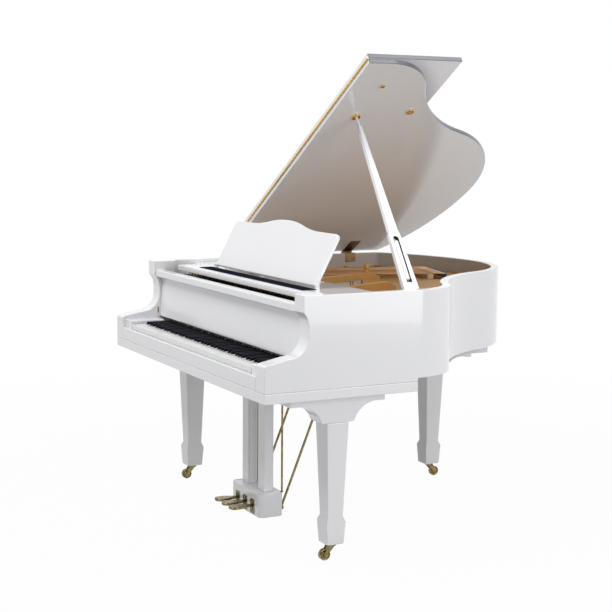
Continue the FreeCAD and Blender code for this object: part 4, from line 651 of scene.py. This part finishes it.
def unison(note):
    """Sideways places of the wires of one note."""
    if note < SINGLE_NOTES:
        return (0,)
    return (-0.0022, 0.0022) if note < BASS_NOTES else (-0.0030, 0, 0.0030)


def coil_radius(note):
    """Room that a note's wire takes beside its pin and under its damper."""
    return 0.0013 if note < BASS_NOTES else 0.0006


def wire_master():
    """One metre of wire of unit radius, a little waisted so that light runs along it."""
    bpy.ops.mesh.primitive_cylinder_add(vertices=6, radius=1, depth=1, end_fill_type="NGON")
    wire = bpy.context.object
    start_edit(wire)
    pick_faces_along(wire, (0, 0, 1))
    bpy.ops.mesh.inset(thickness=0.3)
    end_edit()
    bpy.ops.object.shade_smooth_by_angle(angle=math.radians(65))
    return wire


def make_wires():
    runs = {"treble_strings": [], "bass_strings": [], "bass_cores": []}
    hitches = []
    bridge_pins = []
    for note in range(NOTES):
        first, last = note_line(note)
        way = (last - first).normalized()
        bass = note < BASS_NOTES
        radius = between(0.0016, 0.0010, note / BASS_NOTES) if bass else TREBLE_RADIUS
        for aside in unison(note):
            shift = Vector((aside, 0, 0))
            near, far = first + shift, last + shift
            bridge = far - way * BRIDGE_TO_HITCH
            if bass:
                wound_end = far - way * WINDING_END
                wound_start = near + way * WINDING_START
                runs["bass_strings"].append((wound_start, wound_end, radius))
                runs["bass_cores"].append((near, far, CORE_RADIUS))
            else:
                runs["treble_strings"].append((near, far, radius))
            hitches.append(Vector((far.x, far.y, PLATE_TOP)))
            for reach in (-BRIDGE_PIN_REACH, BRIDGE_PIN_REACH):
                bridge_pins.append(bridge + way * reach + BRIDGE_PIN_SHIFT)
    for name, spans in runs.items():
        places = [aimed((a + b) / 2, b - a, (r, r, (b - a).length)) for a, b, r in spans]
        piece = scatter(wire_master(), places)
        slot = "string_wire"
        paint(piece, "copper_winding" if name == "bass_strings" else slot)
        if name == "treble_strings":
            hang(piece, name, "case", slot, "strings")
        else:
            hang(piece, name, "case", slot)
    make_small_pins(hitches, bridge_pins)
    make_tuning_pins()


def pin_master(radius, height):
    """A short pin with a rounded head."""
    bpy.ops.mesh.primitive_cylinder_add(vertices=8, radius=radius, depth=height,
                                        location=(0, 0, height / 2))
    pin = settle(bpy.context.object)
    start_edit(pin)
    pick_faces_along(pin, (0, 0, 1))
    bpy.ops.mesh.extrude_region_move(TRANSFORM_OT_translate={"value": (0, 0, radius * 0.4)})
    bpy.ops.transform.resize(value=(0.6, 0.6, 1))
    end_edit()
    bpy.ops.object.shade_smooth_by_angle(angle=math.radians(60))
    return pin


def make_small_pins(hitches, bridge_pins):
    bass_wires = sum(len(unison(note)) for note in range(BASS_NOTES))
    treble = [Matrix.Translation(spot) for spot in hitches[bass_wires:]]
    bass = [Matrix.Translation(spot) for spot in hitches[:bass_wires]]
    low = scatter(pin_master(0.0016, 0.010), treble)
    tall = scatter(pin_master(0.0020, 0.024), bass)
    take(tall, low)
    bpy.ops.object.join()
    paint(low, "pin_steel")
    hang(low, "hitch_pins", "case", "pin_steel")
    pins = scatter(pin_master(0.0010, 0.0042), [Matrix.Translation(spot) for spot in bridge_pins])
    paint(pins, "pin_steel")
    hang(pins, "bridge_pins", "case", "pin_steel")


TUNING_PIN_RADIUS = 0.0032
TUNING_PIN_LENGTH = 0.053
TUNING_PIN_STAND = 0.019
TUNING_PIN_HEAD = 0.006
COIL_HEIGHTS = (0.0066, 0.0078)
COIL_RADIUS = 0.0037
WIRE_GAP = 0.0002


def make_tuning_pins():
    """Each pin has a squared head and two turns of wire round its neck."""
    bpy.ops.mesh.primitive_cylinder_add(vertices=8, radius=TUNING_PIN_RADIUS, depth=TUNING_PIN_LENGTH,
                                        location=(0, 0, TUNING_PIN_STAND - TUNING_PIN_LENGTH / 2))
    pin = settle(bpy.context.object)
    start_edit(pin)
    pick_faces_along(pin, (0, 0, 1))
    bpy.ops.mesh.extrude_region_move(TRANSFORM_OT_translate={"value": (0, 0, TUNING_PIN_HEAD)})
    bpy.ops.transform.resize(value=(0.72, 0.72, 1))
    end_edit()
    for height in COIL_HEIGHTS:
        bpy.ops.mesh.primitive_torus_add(major_segments=8, minor_segments=4, major_radius=COIL_RADIUS,
                                         minor_radius=CORE_RADIUS, location=(0, 0, height))
        turn = settle(bpy.context.object)
        take(turn, pin)
        bpy.ops.object.join()
    places = []
    for note in range(NOTES):
        first = note_line(note)[0]
        beside = first.x + TUNING_PIN_RADIUS + coil_radius(note) + WIRE_GAP
        places.append(Matrix.Translation((beside, first.y, PLATE_TOP + 0.001)))
    pins = scatter(pin, places)
    take(pins)
    bpy.ops.object.shade_smooth_by_angle(angle=math.radians(50))
    paint(pins, "pin_steel")
    hang(pins, "coiled_tuning_pins", "case", "pin_steel", "tuning_pins")


def make_plate():
    eased("iron_plate", 0.002, 2)
    eased("plate_bolts", 0.003, 3, "bronze_plate")


DAMPER_HEAD = (0.0072, 0.0292, 0.009)
DAMPER_PAD = (0.0076, 0.030, 0.0032)
DAMPER_GAP = 0.0008


def make_dampers():
    """Black heads with a white felt under each, on their wires and lift rail."""
    body = copy_of("dampers")
    paint(body, "damper_wood")
    bpy.ops.mesh.primitive_cube_add(size=1, location=(0, 0, 0.0075), scale=DAMPER_HEAD)
    head = settle(bpy.context.object)
    start_edit(head, "EDGE")
    pick(head, "edges", lambda edge: all(vert.co.z > 0.01 for vert in edge.verts))
    bpy.ops.mesh.bevel(offset=0.002, segments=2, affect="EDGES")
    end_edit()
    bpy.ops.mesh.primitive_cube_add(size=1, location=(0, 0, 0.0014), scale=DAMPER_PAD)
    pad = settle(bpy.context.object)
    start_edit(pad)
    pick_faces_along(pad, (0, 0, -1))
    bpy.ops.mesh.inset(thickness=0.0012)
    end_edit()
    paint(head, "damper_wood", "white_felt")
    paint(pad, "white_felt")
    take(pad, head)
    bpy.ops.object.join()
    places = []
    for note in range(LAST_DAMPED):
        first, last = note_line(note)
        spot = first + (last - first) * ((DAMPER_DEPTH - first.y) / (last.y - first.y))
        places.append(Matrix.Translation((spot.x, spot.y, spot.z + coil_radius(note) + DAMPER_GAP)))
    heads = scatter(head, places)
    start_edit(body)
    pick(body, "faces", lambda face: face.calc_center_median().z > TREBLE_WIRE + 0.0015)
    bpy.ops.mesh.delete(type="FACE")
    end_edit()
    take(body, heads)
    bpy.ops.object.join()
    hang(heads, "damper_heads", "dampers", "damper_wood", "dampers")


# Screws, shared by all the fittings
def screw_master(radius):
    """A slotted screw head that stands on the origin."""
    bpy.ops.mesh.primitive_cylinder_add(vertices=16, radius=radius, depth=radius * 0.3,
                                        location=(0, 0, radius * 0.15))
    screw = settle(bpy.context.object)
    start_edit(screw)
    pick_faces_along(screw, (0, 0, 1))
    bpy.ops.mesh.inset(thickness=radius * 0.15)
    bpy.ops.transform.translate(value=(0, 0, radius * 0.12))
    bpy.ops.mesh.inset(thickness=radius * 0.08)
    bpy.ops.transform.resize(value=(1, 0.18, 1))
    bpy.ops.mesh.extrude_region_move(TRANSFORM_OT_translate={"value": (0, 0, -radius * 0.2)})
    end_edit()
    bpy.ops.object.shade_smooth_by_angle(angle=SMOOTH)
    return screw


def screws(name, radius, body, finish, slot, spots):
    """A set of screw heads; each spot is a place and the way that the head looks."""
    piece = scatter(screw_master(radius), [aimed(place, way) for place, way in spots])
    paint(piece, finish)
    return hang(piece, name, body, slot)


# Keyboard
def make_keys():
    for letter in "abcdefg":
        eased("natural_%s_keys" % letter, 0.0009, 2)
    for group in ("pair", "triple"):
        eased("black_%s_keys" % group, 0.0013, 2)


PIVOT_PLATE = (0.0010, 0.0065, 0.026)
PIVOT_PLATE_SIDE = 0.6825
PIVOT_PLATE_DEPTH = FRONT + 0.166
PIVOT_PLATE_HEIGHT = 0.771
PIVOT_SCREW_SIDE = 0.6829
PIVOT_SCREW_HEIGHTS = (0.7615, 0.7805)


def make_fallboard():
    """The fallboard, and on each arm the thin plate with two screws that it turns in."""
    eased("fallboard", 0.004, 3)
    plates = []
    for side in (-1, 1):
        spot = (side * PIVOT_PLATE_SIDE, PIVOT_PLATE_DEPTH, PIVOT_PLATE_HEIGHT)
        bpy.ops.mesh.primitive_cube_add(size=1, location=spot, scale=PIVOT_PLATE)
        plate = settle(bpy.context.object)
        soften(plate, 0.0003, 2)
        plates.append(plate)
    take(*plates)
    bpy.ops.object.join()
    piece = bpy.context.object
    paint(piece, "hinge_bronze")
    hang(piece, "fallboard_pivot_plates", "case", "brass")
    spots = []
    for side in (-1, 1):
        for height in PIVOT_SCREW_HEIGHTS:
            spots.append(((side * PIVOT_SCREW_SIDE, PIVOT_PLATE_DEPTH, height), (-side, 0, 0)))
    screws("fallboard_plate_screws", 0.0024, "case", "hinge_bronze", "brass", spots)


# Music rest
def make_music_rest():
    eased("music_shelf", 0.0025, 3)
    eased("music_desk", 0.004, 3)
    eased("desk_struts", 0.001, 2)
    eased("ledge_strip", 0.0006, 2)


# Lid
def lid_point(along, depth, height):
    """A point of the lid: along from its hinge, depth of the case, height over the hinge plane."""
    cosine, sine = math.cos(LID_ANGLE), math.sin(LID_ANGLE)
    return LID_AXIS + Vector((along * cosine - height * sine, depth, along * sine + height * cosine))


LID_DOWN = Vector((math.sin(LID_ANGLE), 0, -math.cos(LID_ANGLE)))
LID_OUT = Vector((math.cos(LID_ANGLE), 0, math.sin(LID_ANGLE)))
PAINTED_SHADE_FACING = 0.3
PAINTED_SHADOW_SLOT_REACH = 0.016
FLAP_HINGES = ("flap_hinge_rear", "flap_hinge_front")
STRAP_SCREWS = (0.030, 0.062, 0.094)
LEAF_SCREW_SIDE = -0.7210
LEAF_SCREW_HEIGHTS = (0.955, 0.972)


def make_lid():
    for node in ("lid_main", "lid_flap"):
        board = eased(node, 0.004, 4)
        # The lid's edges that face out and up get grey lacquer as painted shade.
        board.data.materials.append(FINISHES["painted_shade_edge"])
        for face in board.data.polygons:
            if face.normal.dot(LID_OUT) > PAINTED_SHADE_FACING:
                face.material_index = 1
    prop = copy_of("lid_prop")
    ease_long_edges(prop, 0.0025, 3, 0.03)
    paint(prop, "white_polyester", "painted_shadow_black")
    low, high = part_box("half_stick")
    middle = (low + high) / 2
    tip = max((vert.co for vert in prop.data.vertices), key=lambda spot: spot.z)
    along = (tip - middle).normalized()
    # The slot's walls that face the half stick are painted black as painted shadow.
    for face in prop.data.polygons:
        reach = face.center - middle
        aside = reach - along * reach.dot(along)
        if aside.length < PAINTED_SHADOW_SLOT_REACH and face.normal.dot(aside) < 0:
            face.material_index = 1
    hang(prop, "lid_prop_eased", "prop", "white_polyester", "lid_prop")
    eased("half_stick", 0.002, 2)
    for node in ("lid_hinge_lower", "lid_hinge_upper", "prop_bracket"):
        eased(node, 0.0005, 1, "hinge_bronze")
    eased("lid_fittings", 0.001, 2, "brass")
    for node in FLAP_HINGES:
        frame["nodes"][node].material_slots[0].material = FINISHES["hinge_brass"]
    spots = []
    for depth in LID_HINGE_DEPTHS:
        for along in STRAP_SCREWS:
            for aside in (-0.015, 0.015):
                spots.append((lid_point(along, depth + aside, 0.0002), LID_DOWN))
    screws("lid_strap_screws", 0.0042, "lid", "hinge_bronze", "brass", spots)
    spots = []
    for depth in LID_HINGE_DEPTHS:
        for height in LEAF_SCREW_HEIGHTS:
            for aside in (-0.017, 0.017):
                spots.append(((LEAF_SCREW_SIDE, depth + aside, height), (1, 0, 0)))
    screws("rim_leaf_screws", 0.0038, "case", "hinge_bronze", "brass", spots)


# Pedals and casters
PEDAL_SIDES = (-0.070, 0, 0.070)
PEDAL_PLATE = (0.040, 0.002, 0.060)
PEDAL_PLATE_DEPTH = FRONT + 0.275
PEDAL_PLATE_HEIGHT = 0.056
PEDAL_PLATE_BAND = 0.007


def make_pedals():
    """The pedals, and round each of them a plate with rounded corners on the lyre box."""
    for name in ("soft", "middle", "sustain"):
        eased(name + "_pedal", 0.0035, 3)
    plates = []
    for side in PEDAL_SIDES:
        spot = (side, PEDAL_PLATE_DEPTH, PEDAL_PLATE_HEIGHT)
        bpy.ops.mesh.primitive_cube_add(size=1, location=spot, scale=PEDAL_PLATE)
        plate = settle(bpy.context.object)
        start_edit(plate)
        pick(plate, "faces", lambda face: abs(face.normal.y) > FACING)
        bpy.ops.mesh.inset(thickness=PEDAL_PLATE_BAND, use_individual=True)
        bpy.ops.mesh.bridge_edge_loops()
        end_edit()
        start_edit(plate, "EDGE")
        pick(plate, "edges", lambda edge: abs(edge.verts[0].co.y - edge.verts[1].co.y) > 0.0015
             and abs(edge.verts[0].co.z - PEDAL_PLATE_HEIGHT) > 0.025)
        bpy.ops.mesh.bevel(offset=0.008, segments=4, affect="EDGES", clamp_overlap=False)
        end_edit()
        soften(plate, 0.0006, 2)
        plates.append(plate)
    take(*plates)
    bpy.ops.object.join()
    piece = bpy.context.object
    paint(piece, "antique_brass")
    hang(piece, "pedal_plates", "case", "antique_brass")


BRACE_SIDE = 0.112
STAY_SIDE = 0.130
STAY_DEPTH = FRONT + 0.378
STAY_CUP = (0.55, 0.55, 0.8)


def make_braces():
    """A turned cup at the foot and the head of each brace rod and upright stay."""
    bpy.ops.mesh.primitive_cylinder_add(vertices=24, radius=0.011, depth=0.003, location=(0, 0, 0.0015))
    cup = settle(bpy.context.object)
    start_edit(cup)
    pick_faces_along(cup, (0, 0, 1))
    bpy.ops.mesh.inset(thickness=0.003)
    bpy.ops.mesh.extrude_region_move(TRANSFORM_OT_translate={"value": (0, 0, 0.006)})
    bpy.ops.transform.resize(value=(0.85, 0.85, 1))
    end_edit()
    soften(cup, 0.0007, 2)
    spots = []
    for side in (-BRACE_SIDE, BRACE_SIDE):
        spots.append(aimed((side, FRONT + 0.384, 0.048), (0, 1, 0)))
        spots.append(aimed((side, FRONT + 0.612, 0.613), (0, 0, -1)))
    for side in (-STAY_SIDE, STAY_SIDE):
        spots.append(aimed((side, STAY_DEPTH, 0.116), (0, 0, 1), STAY_CUP))
        spots.append(aimed((side, STAY_DEPTH, 0.587), (0, 0, -1), STAY_CUP))
    cups = scatter(cup, spots)
    paint(cups, "antique_brass")
    hang(cups, "brace_cups", "case", "antique_brass")


WHEEL_RADIUS = 0.0215
WHEEL_WIDTH = 0.018
WHEEL_DISH = 0.0025


def make_casters():
    """Turned wheels, dished on both sides with a raised hub, in their forks."""
    for corner in ("bass", "treble", "tail"):
        name = corner + "_caster_wheel"
        low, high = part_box(name)
        middle = (low + high) / 2
        bpy.ops.mesh.primitive_cylinder_add(vertices=40, radius=WHEEL_RADIUS, depth=WHEEL_WIDTH,
                                            location=middle, rotation=(0, math.pi / 2, 0))
        wheel = settle(bpy.context.object)
        start_edit(wheel)
        pick(wheel, "faces", lambda face: abs(face.normal.x) > FACING)
        bpy.ops.mesh.inset(thickness=0.005)
        bpy.ops.mesh.extrude_region_shrink_fatten(TRANSFORM_OT_shrink_fatten={"value": -WHEEL_DISH})
        bpy.ops.mesh.inset(thickness=0.007)
        bpy.ops.mesh.extrude_region_shrink_fatten(TRANSFORM_OT_shrink_fatten={"value": WHEEL_DISH})
        end_edit()
        soften(wheel, 0.0022, 3)
        paint(wheel, "antique_brass")
        hang(wheel, name + "_turned", BODY_OF[name], SLOT_OF[name], name)
        eased(corner + "_caster_fork", 0.0015, 2)


# Stage
EYE = Vector((4.83794, -2.70659, 1.51725))
YAW = -1.094763
PITCH = -0.122998
ROLL = 0.0075845
FOCAL = 1341.41 / 612
SENSOR = 36
FLOOR_SIZE = 60
FLOOR_TONE = (0.47, 0.47, 0.47)
GLOW_NEAR = 1.6
GLOW_FAR = 4.0
GLOW_LEAST = 0.975
AMBIENT = 0.40
LAMP_AIM = Vector((0, 0, 0.75))
LAMPS = (("key_light", (4.8, 1.3, 1.7), 3.0, 84),
         ("well_light", (2.0, 1.2, 3.6), 1.6, 22),
         ("front_light", (0.2, -3.0, 5.4), 3.0, 202))


def make_camera():
    bpy.ops.object.camera_add(location=EYE)
    camera = bpy.context.object
    ahead = Vector((math.sin(YAW) * math.cos(PITCH), math.cos(YAW) * math.cos(PITCH), math.sin(PITCH)))
    level = Vector((math.cos(YAW), -math.sin(YAW), 0))
    above = level.cross(ahead)
    right = level * math.cos(ROLL) + above * math.sin(ROLL)
    top = right.cross(ahead)
    camera.matrix_world = Matrix.Translation(EYE) @ Matrix((right, top, -ahead)).transposed().to_4x4()
    camera.data.sensor_width = SENSOR
    camera.data.lens = FOCAL * SENSOR
    bpy.context.scene.camera = camera


def seen_rays(finish):
    """One for rays that show the backdrop, nought for those that light the piano."""
    port = finish.node("ShaderNodeLightPath").port.node.outputs
    names = ("Is Camera Ray", "Is Glossy Ray", "Is Transmission Ray")
    camera, glossy, through = (Socket(finish, port[name]) for name in names)
    return (camera + glossy + through) > 0.5


def make_floor():
    """A floor that glows white to the eye, and gives the piano a grey bounce and a faint shadow."""
    bpy.ops.mesh.primitive_plane_add(size=FLOOR_SIZE)
    floor = bpy.context.object
    floor.name = "floor"
    f = Finish("floor_white")
    glow = f.node("ShaderNodeEmission", {}, {"Color": (1, 1, 1), "Strength": 1.0})
    matt = f.node("ShaderNodeBsdfDiffuse", {}, {"Color": FLOOR_TONE})
    away = f.node("ShaderNodeVectorMath", {"operation": "LENGTH"}, {0: f.place()}, "Value")
    share = f.node("ShaderNodeMapRange", {}, {"Value": away, "From Min": GLOW_NEAR, "From Max": GLOW_FAR,
                                              "To Min": GLOW_LEAST, "To Max": 1.0})
    shared = f.node("ShaderNodeMixShader", {}, {0: seen_rays(f) * share, 1: matt, 2: glow})
    f.node_out(shared)
    floor.data.materials.append(f.material)


class World(Finish):
    """The backdrop's own nodes."""

    def __init__(self):
        world = bpy.data.worlds.new("backdrop")
        bpy.context.scene.world = world
        world.use_nodes = True
        self.tree = world.node_tree
        self.tree.nodes.clear()


def make_light():
    """A plain backdrop, dimmer where it only lights the piano, and the lamps."""
    w = World()
    level = AMBIENT + seen_rays(w) * (1 - AMBIENT)
    back = w.node("ShaderNodeBackground", {}, {"Color": (1, 1, 1), "Strength": level})
    out = w.tree.nodes.new("ShaderNodeOutputWorld")
    w.tree.links.new(back.port, out.inputs["Surface"])
    for name, spot, size, power in LAMPS:
        bpy.ops.object.light_add(type="AREA", location=spot)
        lamp = bpy.context.object
        lamp.name = name
        lamp.data.size = size
        lamp.data.energy = power
        lamp.rotation_euler = (LAMP_AIM - Vector(spot)).to_track_quat("-Z", "Y").to_euler()
    bpy.context.scene.view_settings.view_transform = "Standard"


make_case()
make_lyre_box()
make_plate()
make_wires()
make_dampers()
make_keys()
make_fallboard()
make_music_rest()
make_lid()
make_pedals()
make_braces()
make_casters()
# The nodes that show as they are
replaced = {name for thing in bpy.data.objects for name in thing.get("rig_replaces", [])}
for node, thing in frame["nodes"].items():
    if node not in FLAP_HINGES and node not in replaced:
        thing.material_slots[0].material = FINISHES[SLOT_OF[node]]
make_camera()
make_floor()
make_light()
